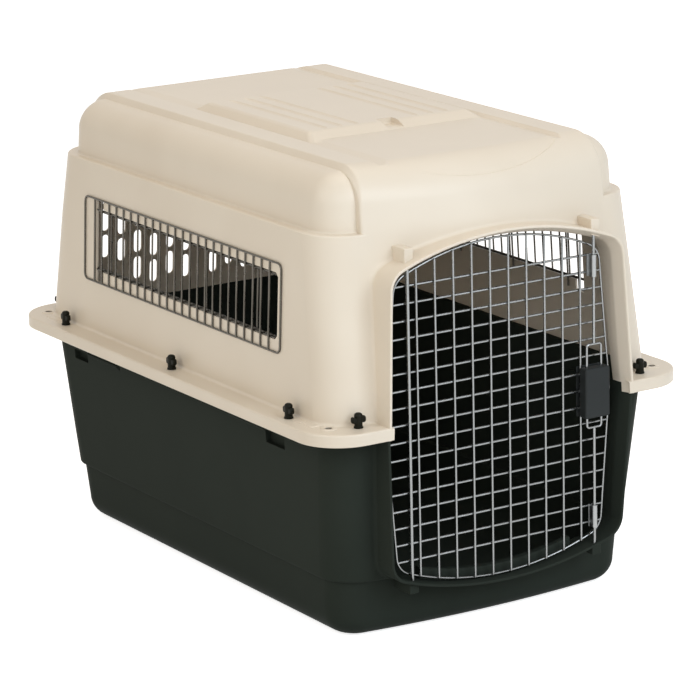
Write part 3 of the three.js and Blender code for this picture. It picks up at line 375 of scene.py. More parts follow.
def arched_outline(o, offset, side_steps=14, arc_steps=10, arch_steps=30):
    """A closed outline in X and Z: leaning sides, corner arcs, a crown arc and a sill arc, grown by an
    offset. Each corner arc touches the leaning side and the arch from inside."""
    def half(top_half, top_at, crown, radius, sign):
        start = np.array([o["waist_half"], sign * o["waist"]])
        along = np.array([top_half, sign * top_at]) - start
        along /= np.linalg.norm(along)
        inward = np.array([-along[1], along[0]])
        arch = np.array([0.0, sign * crown - radius])
        origin = start + inward * o["corner"] - arch
        dot = origin @ along
        travel = -dot + sqrt(dot * dot - origin @ origin + (radius - o["corner"]) ** 2)
        centre = origin + along * travel + arch
        first = atan2(-inward[1], -inward[0])
        last = atan2(centre[1] - arch[1], centre[0])
        corner = o["corner"] + offset
        a = np.linspace(first, last, arc_steps + 1)
        bend = centre + corner * np.c_[np.cos(a), np.sin(a)]
        b = np.linspace(last, pi / 2, arch_steps + 1)[1:]
        arc = arch + (radius + offset) * np.c_[np.cos(b), np.sin(b)]
        arc[-1, 0] = 0.0
        foot = np.array([o["waist_half"] + offset, sign * o["waist"]])
        side = foot + (bend[0] - foot) * np.linspace(0, 1, side_steps + 1)[:-1, None]
        points = np.vstack([side, bend, arc])
        points[:, 1] *= sign
        return points
    upper = half(o["top_half"], o["top_at"], o["crown"], o["crown_radius"], 1)
    lower = half(o["foot_half"], o["foot_at"], o["sill"], o["sill_radius"], -1)
    right = np.vstack([lower[::-1], upper[1:]])
    left = right[1:-1][::-1] * np.array([-1, 1])
    return np.vstack([right, left])


def rim_outline(share, offset):
    """Outline of the doorway at a share of the way from its narrow part to the lip, grown by an offset."""
    return (1 - share) * arched_outline(OPENING, offset) + share * arched_outline(OPENING_LIP, offset)


def lip_at(lip, z):
    """Depth of the lip at a height: straight at the seam, then leaning back."""
    start, slope, height, way = lip
    return start + slope * np.maximum(way * (z - height), 0)


def rim_prism(lip, layers):
    """A solid through outlines of the doorway. Each layer is a share, an offset and a depth behind the
    lip."""
    rings = []
    for share, offset, depth in layers:
        flat = rim_outline(share, offset)
        rings.append(np.c_[flat[:, 0], lip_at(lip, flat[:, 1]) + depth, flat[:, 1]])
    return closed_loft(rings)


def doorway(lip):
    """The room of the doorway through a collar, as far as the narrow part of its outline."""
    return rim_prism(lip, [(0, TONGUE_WALL, -20.0), (0, TONGUE_WALL, 140.0)])


def tongue(gap):
    """The tongue of the lower collar that stands behind the upper lip, filled, with a gap round it."""
    front = TONGUE_FRONT - gap
    return rim_prism(BASE_LIP, [(1 - front / LIP_DEPTH, TONGUE_WALL + gap, front),
                                (0, TONGUE_WALL + gap, LIP_DEPTH), (0, TONGUE_WALL + gap, 80.0)])


def span_at(points, axis, value):
    """Lowest and highest place where a closed outline crosses one value of a coordinate."""
    other = 1 - axis
    a, b = points, np.roll(points, -1, 0)
    low, high = np.minimum(a[:, axis], b[:, axis]), np.maximum(a[:, axis], b[:, axis])
    hit = (low <= value) & (value <= high) & (low != high)
    share = (value - a[hit, axis]) / (b[hit, axis] - a[hit, axis])
    found = a[hit, other] + (b[hit, other] - a[hit, other]) * share
    return found.min(), found.max()


def collar(lip, section, low, high):
    """The rim round the door opening between two heights. Its section narrows inwards from a thin rounded
    lip, and its outside is straight with a fillet that runs out on the bowed wall behind it. Hairline
    distances keep its faces off those of the wall."""
    edge, fillet = 1.5, 5.0
    rows = []

    def wall(flat):
        return np.array([wall_front(section(min(max(z, low), high)), x) for x, z in flat])

    def row(share, offset, depth=None, behind_wall=None):
        flat = rim_outline(share, offset)
        y = lip_at(lip, flat[:, 1]) + depth if behind_wall is None else wall(flat) + behind_wall
        if behind_wall is not None and depth is not None:
            y = np.maximum(y, lip_at(lip, flat[:, 1]) + depth)
        rows.append(np.c_[flat[:, 0], y, flat[:, 1]])

    row(0, 0.0, behind_wall=TOP_WALL + 0.1)
    for depth in np.linspace(LIP_DEPTH, edge, 6):
        row(1 - depth / LIP_DEPTH, 0.0, depth)
    arc = np.linspace(0, pi / 2, 5)
    for a in arc[1:]:
        row(1, edge * (1 - cos(a)), edge * (1 - sin(a)))
    for a in arc[::-1]:
        row(1, LIP_WALL - edge * (1 - cos(a)), edge * (1 - sin(a)))
    for a in np.linspace(0, pi / 2, 7):
        row(1, LIP_WALL + fillet * (1 - cos(a)), edge, -fillet * (1 - sin(a)) + 0.03)
    row(1, LIP_WALL + fillet, behind_wall=1.8)
    row(0, TONGUE_WALL, behind_wall=TOP_WALL + 0.3)
    points = np.stack(rows)
    return points.reshape(-1, 3), grid_faces(len(rows), points.shape[1], wrap_rows=True, wrap_columns=True)


def rail_edge(upright):
    """Long edge of the band as pairs of inset and depth: a sloping side on the roof, a small round where
    the surface stands upright."""
    sloping = np.array([(0, 8.5), (1.0, 7.2), (5.5, 1.6), (6.8, 0.55), (8.2, 0.12), (9.5, 0)])
    small = np.array([(0, 3.0), (0.2, 1.9), (0.9, 0.9), (1.9, 0.2), (3.0, 0), (4.0, 0)])
    return sloping + (small - sloping) * upright


def band_bow(z):
    """Bow of the band's front: that of the walls up to the ledge, and evenly less from there to the top."""
    return WALL_BOW + (HOOD_BOW - WALL_BOW) * max(z - LEDGE_Z, 0) / (RAIL_TOP - LEDGE_Z)


def band():
    """The middle band of the top shell. A profile in Y and Z (front wall, rounded hood, roof, rounded rear,
    rear wall) is carried across X. The front bows as a parabola. A shallow field is sunk between the rails
    and ends on the hood in a curved step, and a groove runs along each side of it."""
    lowest, deep, half_deep, proud = 579.0, 28.0, 16.0, 0.05
    fade_end, fade = 142, 4
    past_field = [136, 138, 140, 142, 145, 148, 150.5, GROOVE_X, 154.5, 156.5, 158, GROOVE_EDGE_X, 159.4,
                  162, 170, 180, 190]
    across = np.concatenate([np.linspace(0, FIELD_HALF, 34), past_field])
    across = np.concatenate([-across[:0:-1], across])
    count = len(rail_edge(0))
    columns = [(-1, None), (-1, -1)] + [(-1, k) for k in range(count)]
    columns += [(0, x) for x in across]
    columns += [(1, k) for k in range(count)[::-1]] + [(1, -1), (1, None)]
    stations = [("front", z) for z in np.linspace(lowest, RAIL_TOP - HOOD_RADIUS, 8)[:-1]]
    stations += [("below", t) for t in np.linspace(0, 1, 18)] + [("step", 0.5), ("step", 1.0)]
    stations += [("above", t) for t in np.linspace(0, 1, 28)[1:]]
    stations += [("roof", t) for t in np.linspace(0, 1, 40)[1:-1]]
    stations += [("rear_arc", a) for a in np.linspace(pi / 2, 0, 24)]
    stations += [("rear", z) for z in np.linspace(RAIL_TOP - REAR_RADIUS, lowest, 6)[1:]]

    def front_y(x, z, drop):
        section = top_section(z)
        reach = section[0] - section[4]
        return -section[2] + drop - band_bow(z) * (1 - (x / reach) ** 2) - proud

    def step_angle(x):
        line = STEP_LOW + STEP_RISE * min(abs(x) / STEP_HALF, 1) ** 2
        return asin((line - RAIL_TOP + HOOD_RADIUS) / HOOD_RADIUS)

    def height_limit(x):
        if abs(x) <= FIELD_HALF:
            return RAIL_TOP - FIELD_DEPTH
        if abs(x) <= GROOVE_X:
            share = (abs(x) - FIELD_HALF) / (GROOVE_X - FIELD_HALF)
            return RAIL_TOP - FIELD_DEPTH + (GROOVE_BOTTOM - RAIL_TOP + FIELD_DEPTH) * share
        share = min((abs(x) - GROOVE_X) / (GROOVE_EDGE_X - GROOVE_X), 1)
        return GROOVE_BOTTOM + (RAIL_TOP - GROOVE_BOTTOM) * share

    rows = []
    for kind, value in stations:
        row = []
        for where, place in columns:
            across_x = place if where == 0 else where * BAND_HALF
            angle, inside = 0.0, 0.0
            if kind in ("below", "step", "above"):
                step, half_step = step_angle(across_x), STEP_HALF_WIDTH / HOOD_RADIUS
                if kind == "below":
                    angle = (step - half_step) * value
                elif kind == "step":
                    angle, inside = step + half_step * (2 * value - 1), value
                else:
                    angle, inside = step + half_step + (pi / 2 - step - half_step) * value, 1.0
                z, ny, nz = RAIL_TOP - HOOD_RADIUS * (1 - sin(angle)), -cos(angle), sin(angle)
            elif kind == "front":
                z, ny, nz = value, -1.0, 0.0
            elif kind == "roof":
                z, ny, nz = RAIL_TOP, 0.0, 1.0
            elif kind == "rear_arc":
                z, ny, nz = RAIL_TOP - REAR_RADIUS * (1 - sin(value)), cos(value), sin(value)
            else:
                z, ny, nz = value, 1.0, 0.0
            half = BAND_HALF - BAND_TAPER * (z - LEDGE_Z) / (RAIL_TOP - LEDGE_Z)
            if where == 0:
                x, sunk = place, FIELD_DEPTH * inside * min(max((fade_end - abs(place)) / fade, 0), 1)
            elif place is None or place < 0:
                x, sunk = where * half, deep if place is None else half_deep
            else:
                inset, sunk = rail_edge(1 - nz)[place]
                x = where * (half - inset)
            if kind == "front":
                y = front_y(x, z, 0.0)
            elif kind in ("below", "step", "above"):
                y = front_y(x, z, HOOD_RADIUS * (1 - cos(angle)))
            elif kind == "roof":
                start = front_y(x, RAIL_TOP, HOOD_RADIUS)
                y = start + (top_section(RAIL_TOP)[1] - REAR_RADIUS - start) * value
            elif kind == "rear_arc":
                y = top_section(z)[1] - REAR_RADIUS * (1 - cos(value))
            else:
                y = top_section(z)[1] + proud
            py, pz = y - ny * sunk, z - nz * sunk
            if where == 0:
                pz = min(pz, height_limit(x))
            row.append((x, py, pz))
        rows.append(np.array(row))
    return closed_loft(rows)


def band_hollow():
    """Inside of the band: its profile again, coarser and a wall's thickness in, narrowing up the hood."""
    corner, narrowing = 4.0, 8.0
    heights = [LEDGE_Z - 20, LEDGE_Z]
    heights += [RAIL_TOP - HOOD_RADIUS + HOOD_RADIUS * sin(pi / 2 * i / 10) for i in range(11)]
    rings = []
    for z in [z for z in heights if z < ROOF_INNER] + [ROOF_INNER]:
        section = top_section(z)
        half = BAND_HALF - BAND_TAPER * max(z - LEDGE_Z, 0) / (RAIL_TOP - LEDGE_Z)
        straight = (half - corner) / (section[0] - section[4])
        bow = band_bow(z)

        def drop(radius):
            up = max(z - (RAIL_TOP - radius), 0)
            return radius - sqrt(max(radius * radius - up * up, 0))
        half -= narrowing * max(z - RAIL_TOP + HOOD_RADIUS, 0) / HOOD_RADIUS
        front = section[2] + bow * (1 - straight ** 2) - drop(HOOD_RADIUS)
        own = np.array([half, section[1] - drop(REAR_RADIUS), front, bow * straight ** 2, corner])
        rings.append(plan_ring(own, z, TOP_WALL))
    return closed_loft(rings)


def shoulder_foot():
    """Section of the shoulders at the ledge, which is deeper at the rear."""
    foot = grown(TOP_LEDGE, -LEDGE_DEPTH)
    foot[1] = TOP_LEDGE[1] - REAR_LEDGE_DEPTH
    return foot


def shoulders_hollow():
    """Inside of the shoulders, a wall's thickness in."""
    foot = shoulder_foot()
    spring = grown(foot, -SHOULDER_LEAN)
    rings = [plan_ring(foot, LEDGE_Z - 20, TOP_WALL), plan_ring(foot, LEDGE_Z, TOP_WALL)]
    for a in np.linspace(0, pi / 2, 9):
        z = SPRING_Z + (SHOULDER_RADIUS - TOP_WALL) * sin(a)
        rings.append(plan_ring(grown(spring, -SHOULDER_RADIUS * (1 - cos(a))), z, TOP_WALL * cos(a)))
    return closed_loft(rings)


def top_outer():
    """Outside of the top shell without the band: skirt, flange, leaning wall, ledge and shoulders, with
    every edge between them a quarter round."""
    skirt_edge, flange_edge, wall_fillet, ledge_edge, ledge_fillet = 0.9, 3.0, 4.5, 2.8, 3.2
    quarter = np.linspace(0, pi / 2, 6)
    rings = [plan_ring(FLANGE, SKIRT_BOTTOM, skirt_edge), plan_ring(FLANGE, SKIRT_BOTTOM + skirt_edge)]
    for a in quarter:
        z = FLANGE_TOP - flange_edge + flange_edge * sin(a)
        rings.append(plan_ring(FLANGE, z, flange_edge * (1 - cos(a))))
    for a in quarter:
        z = FLANGE_TOP + wall_fillet * (1 - cos(a))
        rings.append(plan_ring(grown(top_section(z), wall_fillet * (1 - sin(a))), z))
    for z in (400.0, 470.0, 486.0, 490.0, 506.0, 550.0):
        rings.append(plan_ring(top_section(z), z))
    for a in quarter:
        z = LEDGE_Z - ledge_edge + ledge_edge * sin(a)
        rings.append(plan_ring(top_section(z), z, ledge_edge * (1 - cos(a))))
    foot = shoulder_foot()
    spring = grown(foot, -SHOULDER_LEAN)
    for a in quarter:
        z = LEDGE_Z + ledge_fillet * (1 - cos(a))
        rings.append(plan_ring(grown(foot, ledge_fillet * (1 - sin(a))), z))
    for a in np.linspace(0, pi / 2, 16):
        z = SPRING_Z + SHOULDER_RADIUS * sin(a)
        rings.append(plan_ring(grown(spring, -SHOULDER_RADIUS * (1 - cos(a))), z))
    return closed_loft(rings)


def roof_pad():
    """The raised pad: a block with sloping sides and rounded top edges."""
    mesh = bmesh.new()
    low = [(-157.5, -197), (157.5, -197), (157.5, 174), (-157.5, 174)]
    high = [(-136.5, -149), (136.5, -149), (136.5, 136), (-136.5, 136)]
    lower = [mesh.verts.new((x, y, PAD_FOOT)) for x, y in low]
    upper = [mesh.verts.new((x, y, PAD_TOP)) for x, y in high]
    mesh.faces.new(lower[::-1])
    mesh.faces.new(upper)
    for i in range(4):
        mesh.faces.new([lower[i], lower[(i + 1) % 4], upper[(i + 1) % 4], upper[i]])
    slopes = [e for e in mesh.edges if any(v in upper for v in e.verts)]
    bmesh.ops.bevel(mesh, geom=slopes, offset=5.0, segments=6, profile=0.5, affect="EDGES")
    return taken(mesh)


def pad_groove(x):
    """A soft lengthwise channel in the pad: a long round bar sunk a little into its top, with its ends
    turned up."""
    radius, depth = 8.0, 2.1
    y = np.array([-147, -143, -138, -131, 114, 121, 126, 131.0])
    lift = np.array([3.0, 1.2, 0.3, 0, 0, 0.3, 1.2, 3.0])
    return tube(np.c_[np.full(len(y), x), y, PAD_TOP - depth + radius + lift], radius, 24)


def capsule_prism(x, low, high, radius, y0, y1):
    """A round-ended upright slot as a solid between two depths."""
    a = np.linspace(0, pi, 9)
    flat = np.vstack([np.c_[x + radius * np.cos(a), high - radius + radius * np.sin(a)],
                      np.c_[x - radius * np.cos(a), low + radius - radius * np.sin(a)]])
    return closed_loft([np.c_[flat[:, 0], np.full(len(flat), y), flat[:, 1]] for y in (y0, y1)])


def rear_slots():
    """The ventilation slots of the rear wall, in staggered columns on both sides of the middle."""
    first, pitch, lowest, stagger, rise, height, radius = 25.5, 29.2, 345.0, 9.5, 43.5, 37.0, 7.0
    slots = []
    for column in range(6):
        for row in range(1 if column >= 4 else 0, 5):
            for side in (-1, 1):
                foot = lowest + (column % 2) * stagger + row * rise
                slots.append(capsule_prism(side * (first + column * pitch), foot, foot + height, radius,
                                           355.0, 450.0))
    return merged(*slots)


def window_prism(side):
    """A side window: a rectangle with bevelled corners at one end and a taller notch at the other. The
    right one is the left one turned half round."""
    outline = [(-275, 429), (-269, 423), (233, 423), (233, 406), (254, 406), (254, 533), (233, 533),
               (233, 519), (-269, 519), (-275, 513)]
    flat = np.array(outline, float) * np.array([-side, 1])
    rings = [np.c_[np.full(len(flat), side * x), flat] for x in (BAND_HALF, 330.0)]
    count = len(flat)
    faces = grid_faces(2, count, wrap_columns=True)
    faces.append(list(range(count))[::-1])
    faces.append(list(range(count, 2 * count)))
    return np.vstack(rings), faces


def flange_holes():
    """Bolt and cable-tie holes through both shells."""
    bolt_hole, tie_hole, low, high = 3.4, 5.6, 280, 350
    holes = [post(x, y, low, high, bolt_hole, 20) for _, x, y in FLANGE_BOLTS]
    holes += [post(x, y, low, high, tie_hole, 28) for x, y in TIE_PLACES]
    return merged(*holes)


def flange_strips():
    """A low strip on the flange beside each tie hole, towards the nearest nut."""
    centre, half, near, far = 286, 7, 340, 392
    return merged(*[block(x - half, x + half, *sorted((s * near, s * far)), 323.5, FLANGE_TOP + 0.9, 0.8)
                    for x in (-centre, centre) for s in (-1, 1)])


def wall_boxes(inset):
    """The boxes behind the hand pockets under the rim of the base, smaller by an inset."""
    outer, edge = (276, 1.5) if inset else (269.5, 0.0)
    boxes = []
    for side in (-1, 1):
        x0, x1 = sorted((side * (259 + inset), side * outer))
        for y0, y1, z0, z1 in ((-284, -229, 262, 285), (298, 344, 264, 283), (196, 204, 274, 284)):
            boxes.append(block(x0, x1, y0 + inset, y1 - inset, z0 + inset, z1 - inset, edge))
    return merged(*boxes)


def wall_rails():
    """Slim rails that run level along the side walls between the pockets."""
    return merged(*[block(*sorted((s * 268.5, s * 272.6)), y0, y1, z, z + 5.0, 1.2)
                    for s in (-1, 1) for y0, y1, z in ((-229, -130, 281), (204, 298, 278))])


def rod_lugs(back, low, high):
    """The two blocks behind the collar that hold the ends of the hinge rod and of a bolt."""
    half, edge = 7.5, 1.4
    return merged(*[block(x - half, x + half, front, back, low, high, edge)
                    for x, front in ((HINGE_X, HINGE_Y - 5.5), (LATCH_X, BOLT_Y - 5.2))])


def big_box(z0, z1):
    """Everything between two heights."""
    return block(-400, 400, -560, 560, z0, z1)


def top_shell():
    """The upper shell: outer form, band and pad joined, hollowed, opened for the door, the windows and
    the slots, with a collar round the doorway."""
    pads = merged(*[turned([(0, 0), (12.2, 0), (12.0, 2.8), (11.2, 3.9), (10.2, 4.4), (9.0, 4.6), (0, 4.6)],
                           x, y, 322.6) for x, y in TIE_PLACES])
    cabin = closed_loft([plan_ring(top_section(z), z, TOP_WALL) for z in (300, 326, 488, 583.8)])
    notch = block(-14, 14, -210, -133, 674.9, 720, 2.4)
    thinned = merged(*[post(x, y, 316, 326.2, 9.0, 28) for x, y in TIE_PLACES])
    steps = [
        ("+", band()), ("+", roof_pad()), ("+", rod_lugs(-384, 528, 568.5)), ("+", pads), ("+", flange_strips()),
        ("-", cabin), ("-", shoulders_hollow()), ("-", band_hollow()),
        ("-", block(-128, 128, -132, 127.5, 660, PAD_TOP - 3.2, 2.0)),
        ("-", closed_loft([plan_ring(FLANGE, z, SKIRT_WALL) for z in (280, PLATE_UNDER)])),
        ("-", merged(*[pad_groove(s * x) for x in (51.5, 78.5, 104.5) for s in (-1, 1)])), ("-", notch),
        ("-", doorway(TOP_LIP)),
        ("+", combined("collar_top", collar(TOP_LIP, top_section, 308.0, 587.0), [
            ("*", big_box(308, 700)),
            ("-", combined("tongue_room", tongue(0.4), [("*", big_box(280, PLATE_UNDER))]))])),
        ("-", window_prism(-1)), ("-", window_prism(1)), ("-", rear_slots()), ("-", thinned),
        ("-", flange_holes()),
        ("-", post(HINGE_X, HINGE_Y, 308, 566.1, 3.0, 24)), ("-", post(LATCH_X, BOLT_Y, 308, 566.0, 2.7, 24)),
    ]
    return combined("top_shell", top_outer(), steps)


def base_outer():
    """Outside of the base shell: rounded bottom edge, leaning wall with a step, rim plate."""
    rings = []
    for a in np.linspace(0, pi / 2, 12):
        rings.append(plan_ring(grown(BASE_EDGE, -BASE_EDGE_RADIUS * (1 - sin(a))),
                               BASE_EDGE_RADIUS * (1 - cos(a))))
    for z in (60.0, 84.5):
        rings.append(plan_ring(base_section(z), z))
    for by, z in ((0.0, 86.0), (0.8, 87.2), (2.2, 88.0), (5.0, 88.6), (6.6, 89.3), (7.4, 90.6), (7.5, 92.5)):
        rings.append(plan_ring(grown(BASE_BELOW_STEP, by), z))
    for z in (140.0, 220.0, 308.0, 314.0):
        rings.append(plan_ring(base_section(z), z))
    rim = grown(FLANGE, -3.6)
    rings.append(plan_ring(grown(BASE_RIM, 1.2), 317.3))
    rings.append(plan_ring(grown(BASE_RIM, 4.0), RIM_TOP - RIM_PLATE))
    rings.append(plan_ring(rim, RIM_TOP - RIM_PLATE))
    rings.append(plan_ring(rim, RIM_TOP))
    return closed_loft(rings)


def base_inner():
    """Inside of the base shell, a wall's thickness in."""
    rings = []
    for a in np.linspace(0, pi / 2, 10):
        z = BASE_EDGE_RADIUS - (BASE_EDGE_RADIUS - BASE_WALL) * cos(a)
        rings.append(plan_ring(grown(BASE_EDGE, -BASE_EDGE_RADIUS * (1 - sin(a))), z, BASE_WALL * sin(a)))
    for z in (87.0, 89.0, 308.0, 342.0):
        rings.append(plan_ring(base_section(z), z, BASE_WALL))
    return closed_loft(rings)


def sill_strip():
    """The strip behind the lower edge of the door: a rounded bar between two shallow arcs."""
    sill, radius, top, top_radius, front = OPENING["sill"], OPENING["sill_radius"], 80.7, 470.0, -419
    profile = [(0, 0), (14, 0), (14, 0.86), (13.2, 0.95), (12, 1.0), (2, 1.0), (0.8, 0.95), (0, 0.86)]
    rings = []
    for x in np.linspace(-136, 124, 40):
        low = sill - TONGUE_WALL + radius - sqrt(radius ** 2 - x * x)
        high = top + top_radius - sqrt(top_radius ** 2 - x * x)
        rings.append(np.array([(x, front + dy, low + (high - low) * s) for dy, s in profile]))
    return closed_loft(rings)


def base_shell():
    """The lower shell: outer form hollowed, opened for the door, with its collar, the tongue that fits
    behind the collar above, the lugs and the sill strip."""
    steps = [
        ("+", rod_lugs(-389, 71, 112)), ("-", base_inner()),
        ("+", wall_boxes(0.0)), ("-", wall_boxes(2.0)), ("+", wall_rails()),
        ("-", combined("rim_gap", rim_prism(BASE_LIP, [(1, LIP_WALL + 0.4, -20), (1, LIP_WALL + 0.4, 30)]),
                       [("*", big_box(310, 340))])),
        ("-", doorway(BASE_LIP)),
        ("+", combined("collar_base", collar(BASE_LIP, base_section, 60.0, 307.0), [
            ("*", big_box(-10, 307.6))])),
        ("+", combined("tongue", tongue(0.0), [
            ("-", rim_prism(BASE_LIP, [(1, 0, -20), (1, 0, 0), (0, 0, LIP_DEPTH), (0, 0, 140)])),
            ("*", big_box(300, RIM_TOP)), ("*", block(-400, 400, -560, -391.4, 200, 400))])),
        ("+", combined("strip", sill_strip(), [("-", base_inner())])),
        ("-", flange_holes()),
        ("-", post(HINGE_X, HINGE_Y, 77.5, 308, 3.0, 24)), ("-", post(LATCH_X, BOLT_Y, 77.5, 308, 2.7, 24)),
    ]
    return combined("base_shell", base_outer(), steps)


def door_wires():
    """The welded door: a bent frame wire, ten uprights in front and seventeen rungs in its own plane."""
    middle = arched_outline(DOOR, 0.0) + np.array([DOOR_CENTRE_X, 0])
    skins = [tube(np.c_[middle[:, 0], np.full(len(middle), RUNG_Y), middle[:, 1]], WIRE, closed=True)]
    for i in range(UPRIGHTS):
        x = UPRIGHT_X + UPRIGHT_PITCH * i
        low, high = span_at(middle, 0, x)
        skins.append(wire((x, UPRIGHT_Y, low), (x, UPRIGHT_Y, high), WIRE))
    for i in range(RUNGS):
        z = RUNG_Z - RUNG_PITCH * i
        left, right = span_at(middle, 1, z)
        skins.append(wire((left, RUNG_Y, z), (right, RUNG_Y, z), WIRE))
    return merged(*skins)


def rod(x, y, low, high, radius, tip, chamfer):
    """An upright rod whose two ends are chamfered down to a tip radius."""
    length = high - low
    profile = [(0, 0), (tip, 0), (radius, chamfer), (radius, length - chamfer), (tip, length), (0, length)]
    return turned(profile, x, y, low, 20)


def fork(bar_z, wall_z, tip_z, foot_z):
    """One bolt: a foot inside the box, a bent rod as two legs and a squeeze bar, and the locking rod."""
    up = 1 if bar_z > wall_z else -1
    reach, bend, leg, foot_half, foot_deep = 12.5, 4.0, 1.8, 17, 4.5
    path = [(-reach, wall_z), (-reach, wall_z + (bar_z - wall_z) * 0.5)]
    for a in np.linspace(0, pi / 2, 7):
        path.append((-reach + bend * (1 - cos(a)), bar_z - up * bend * (1 - sin(a))))
    path += [(-x, z) for x, z in path[::-1]]
    legs = tube([(LATCH_X + x, BOLT_Y, z) for x, z in path], leg, 14)
    foot = block(LATCH_X - foot_half, LATCH_X + foot_half, BOLT_Y - foot_deep, BOLT_Y + foot_deep,
                 *sorted((wall_z, foot_z)), 0.8)
    return merged(legs, rod(LATCH_X, BOLT_Y, *sorted((bar_z, tip_z)), BOLT_R, BOLT_R * 0.6, 1.2), foot)


def latch_housing():
    """The moulded box of the latch: rounded, open at the back, a stepped lower panel, a shelf inside."""
    x0, x1 = LATCH_X - 21.5, LATCH_X + 21.5
    front, back, behind, low, high, wall = -450.0, -432.6, -404, 278, 352, 2.2
    return combined("latch_housing", block(x0, x1, front, back, low, high, 3.2, 5), [
        ("-", block(x0 - 5, x1 + 5, -454, -449.3, 270, 301.5, 0.4)),
        ("-", block(x0 + wall, x1 - wall, front + wall, behind, low + wall, 308.8)),
        ("-", block(x0 + wall, x1 - wall, front + wall, behind, 311.2, high - wall)),
        ("-", block(x0 - 5, x1 + 5, back, behind, 270, 360)),
        ("-", merged(*[post(LATCH_X + dx, BOLT_Y, 258, 372, 2.3, 20) for dx in (-12.5, 12.5)])),
        ("-", block(133.25, 137.35, -434.1, behind, 258, 372)),
    ])


def bolt_guide(low, high, half):
    """A folded sheet round the locking rod: a plate on the wires with a rounded loop in front of it."""
    wires_y, radius, bend, thick = -430.95, 3.7, 0.6, 0.55
    plate_y, fold_y = wires_y - 0.6, wires_y - 1.4
    loop = [(LATCH_X + radius * cos(t), BOLT_Y - radius * sin(t)) for t in np.linspace(pi, 0, 15)]
    path = np.array([
        (LATCH_X - half, plate_y), (LATCH_X - radius - bend, plate_y), (LATCH_X - radius, fold_y), *loop,
        (LATCH_X + radius, fold_y), (LATCH_X + radius + bend, plate_y), (LATCH_X + half, plate_y)])
    tangent = np.gradient(path, axis=0)
    tangent /= np.linalg.norm(tangent, axis=1)[:, None]
    normal = np.c_[-tangent[:, 1], tangent[:, 0]]
    ring = np.vstack([path + thick * normal, (path - thick * normal)[::-1]])
    count = len(ring)
    points = np.vstack([np.c_[ring, np.full(count, z)] for z in (low, high)])
    faces = grid_faces(2, count, wrap_columns=True)
    for base, flip in ((0, True), (count, False)):
        for i in range(count // 2 - 1):
            quad = [base + i, base + i + 1, base + count - 2 - i, base + count - 1 - i]
            faces.append(quad[::-1] if flip else quad)
    return points, faces


def side_grille(side):
    """A window grille of round wire, drawn flat and then leaned and moved to its window."""
    radius, outer_x, tie_x, middle_z = 1.5, 1.8, -5.2, 471.0
    low, high = 405.6 - middle_z, 533.5 - middle_z
    y0, y1, corner, first, pitch = -285.5, 288.0, 9.0, 31.1, 22.23
    loop = []
    for cy, cz, start in ((y1 - corner, low + corner, -pi / 2), (y1 - corner, high - corner, 0),
                          (y0 + corner, high - corner, pi / 2), (y0 + corner, low + corner, pi)):
        for a in np.linspace(start, start + pi / 2, 6):
            loop.append((outer_x, cy + corner * cos(a), cz + corner * sin(a)))
    wires = [tube(loop, radius, closed=True)]
    for i in range(24):
        y = y0 + first + i * pitch
        wires.append(wire((outer_x, y, low), (outer_x, y, high), radius, 10))
    for sign in (-1, 1):
        for x, edge in ((-1.0, 46.0), (-3.0, 44.0)):
            wires.append(wire((x, -269.0, sign * edge), (x, 253.5, sign * edge), radius, 10))
    for y in (-212.4, -69.3, 73.9, 216.9):
        wires.append(wire((tie_x, y, -61.0), (tie_x, y, 61.0), radius, 10))
    points, faces = merged(*wires)
    lean = atan2(TOP_WAIST[0] - TOP_LEDGE[0], LEDGE_Z - WAIST_Z)
    x, y, z = points.T
    out = top_section(middle_z)[0] + (x * cos(lean) - z * sin(lean))
    return np.c_[side * out, -side * y, middle_z + (x * sin(lean) + z * cos(lean))], faces


def wing_nut(x, y, along_y):
    """A moulded nut: a round stem with a foot ring and a domed top, and a thick rounded lobe on each side
    at mid-height."""
    body = turned([(0, 0), (6.6, 0), (6.8, 0.5), (6.6, 2.0), (5.8, 2.8), (5.7, 14.0), (6.0, 16.4),
                   (5.9, 18.4), (5.0, 20.2), (3.4, 21.3), (1.6, 21.6), (0, 21.6)], sides=28)
    lobe = [(6.0, 7.2), (8.6, 7.0), (10.2, 7.8), (11.1, 9.6), (11.25, 12.0), (10.9, 14.6), (9.6, 16.2),
            (8.0, 16.2), (6.4, 15.0)]
    outline = np.array([(-6.0, 7.2), *lobe, *[(-across, up) for across, up in lobe[:0:-1]]])
    mid = outline.mean(0)
    rings = []
    for share, w in ((0.8, -3.6), (0.93, -3.1), (1.0, -2.0), (1.0, 2.0), (0.93, 3.1), (0.8, 3.6)):
        flat = mid + (outline - mid) * share
        rings.append(np.c_[flat[:, 0], np.full(len(flat), w), flat[:, 1]])
    points, faces = combined("nut", body, [("+", closed_loft(rings)), ("-", post(0, 0, -2, 14.3, 3.4, 20))])
    if along_y:
        points = np.c_[-points[:, 1], points[:, 0], points[:, 2]]
    return points + np.array([x, y, FLANGE_TOP + 0.3]), faces


def flange_bolt(x, y):
    """A bolt with a domed head under the rim and a shank up into its nut."""
    seat = RIM_TOP - RIM_PLATE - 0.3 - FLANGE_TOP
    profile = [(0, seat - 3.6), (3.4, seat - 3.4), (4.8, seat - 2.4), (5.2, seat - 1.0), (5.2, seat),
               (3.0, seat), (3.0, 12.9), (2.4, 13.5), (0, 13.5)]
    return turned(profile, x, y, FLANGE_TOP, 28)


def linear(code):
    """A colour written as an sRGB hex code, in linear light."""
    parts = [int(code[i:i + 2], 16) / 255 for i in (1, 3, 5)]
    return [c / 12.92 if c <= 0.04045 else ((c + 0.055) / 1.055) ** 2.4 for c in parts] + [1.0]


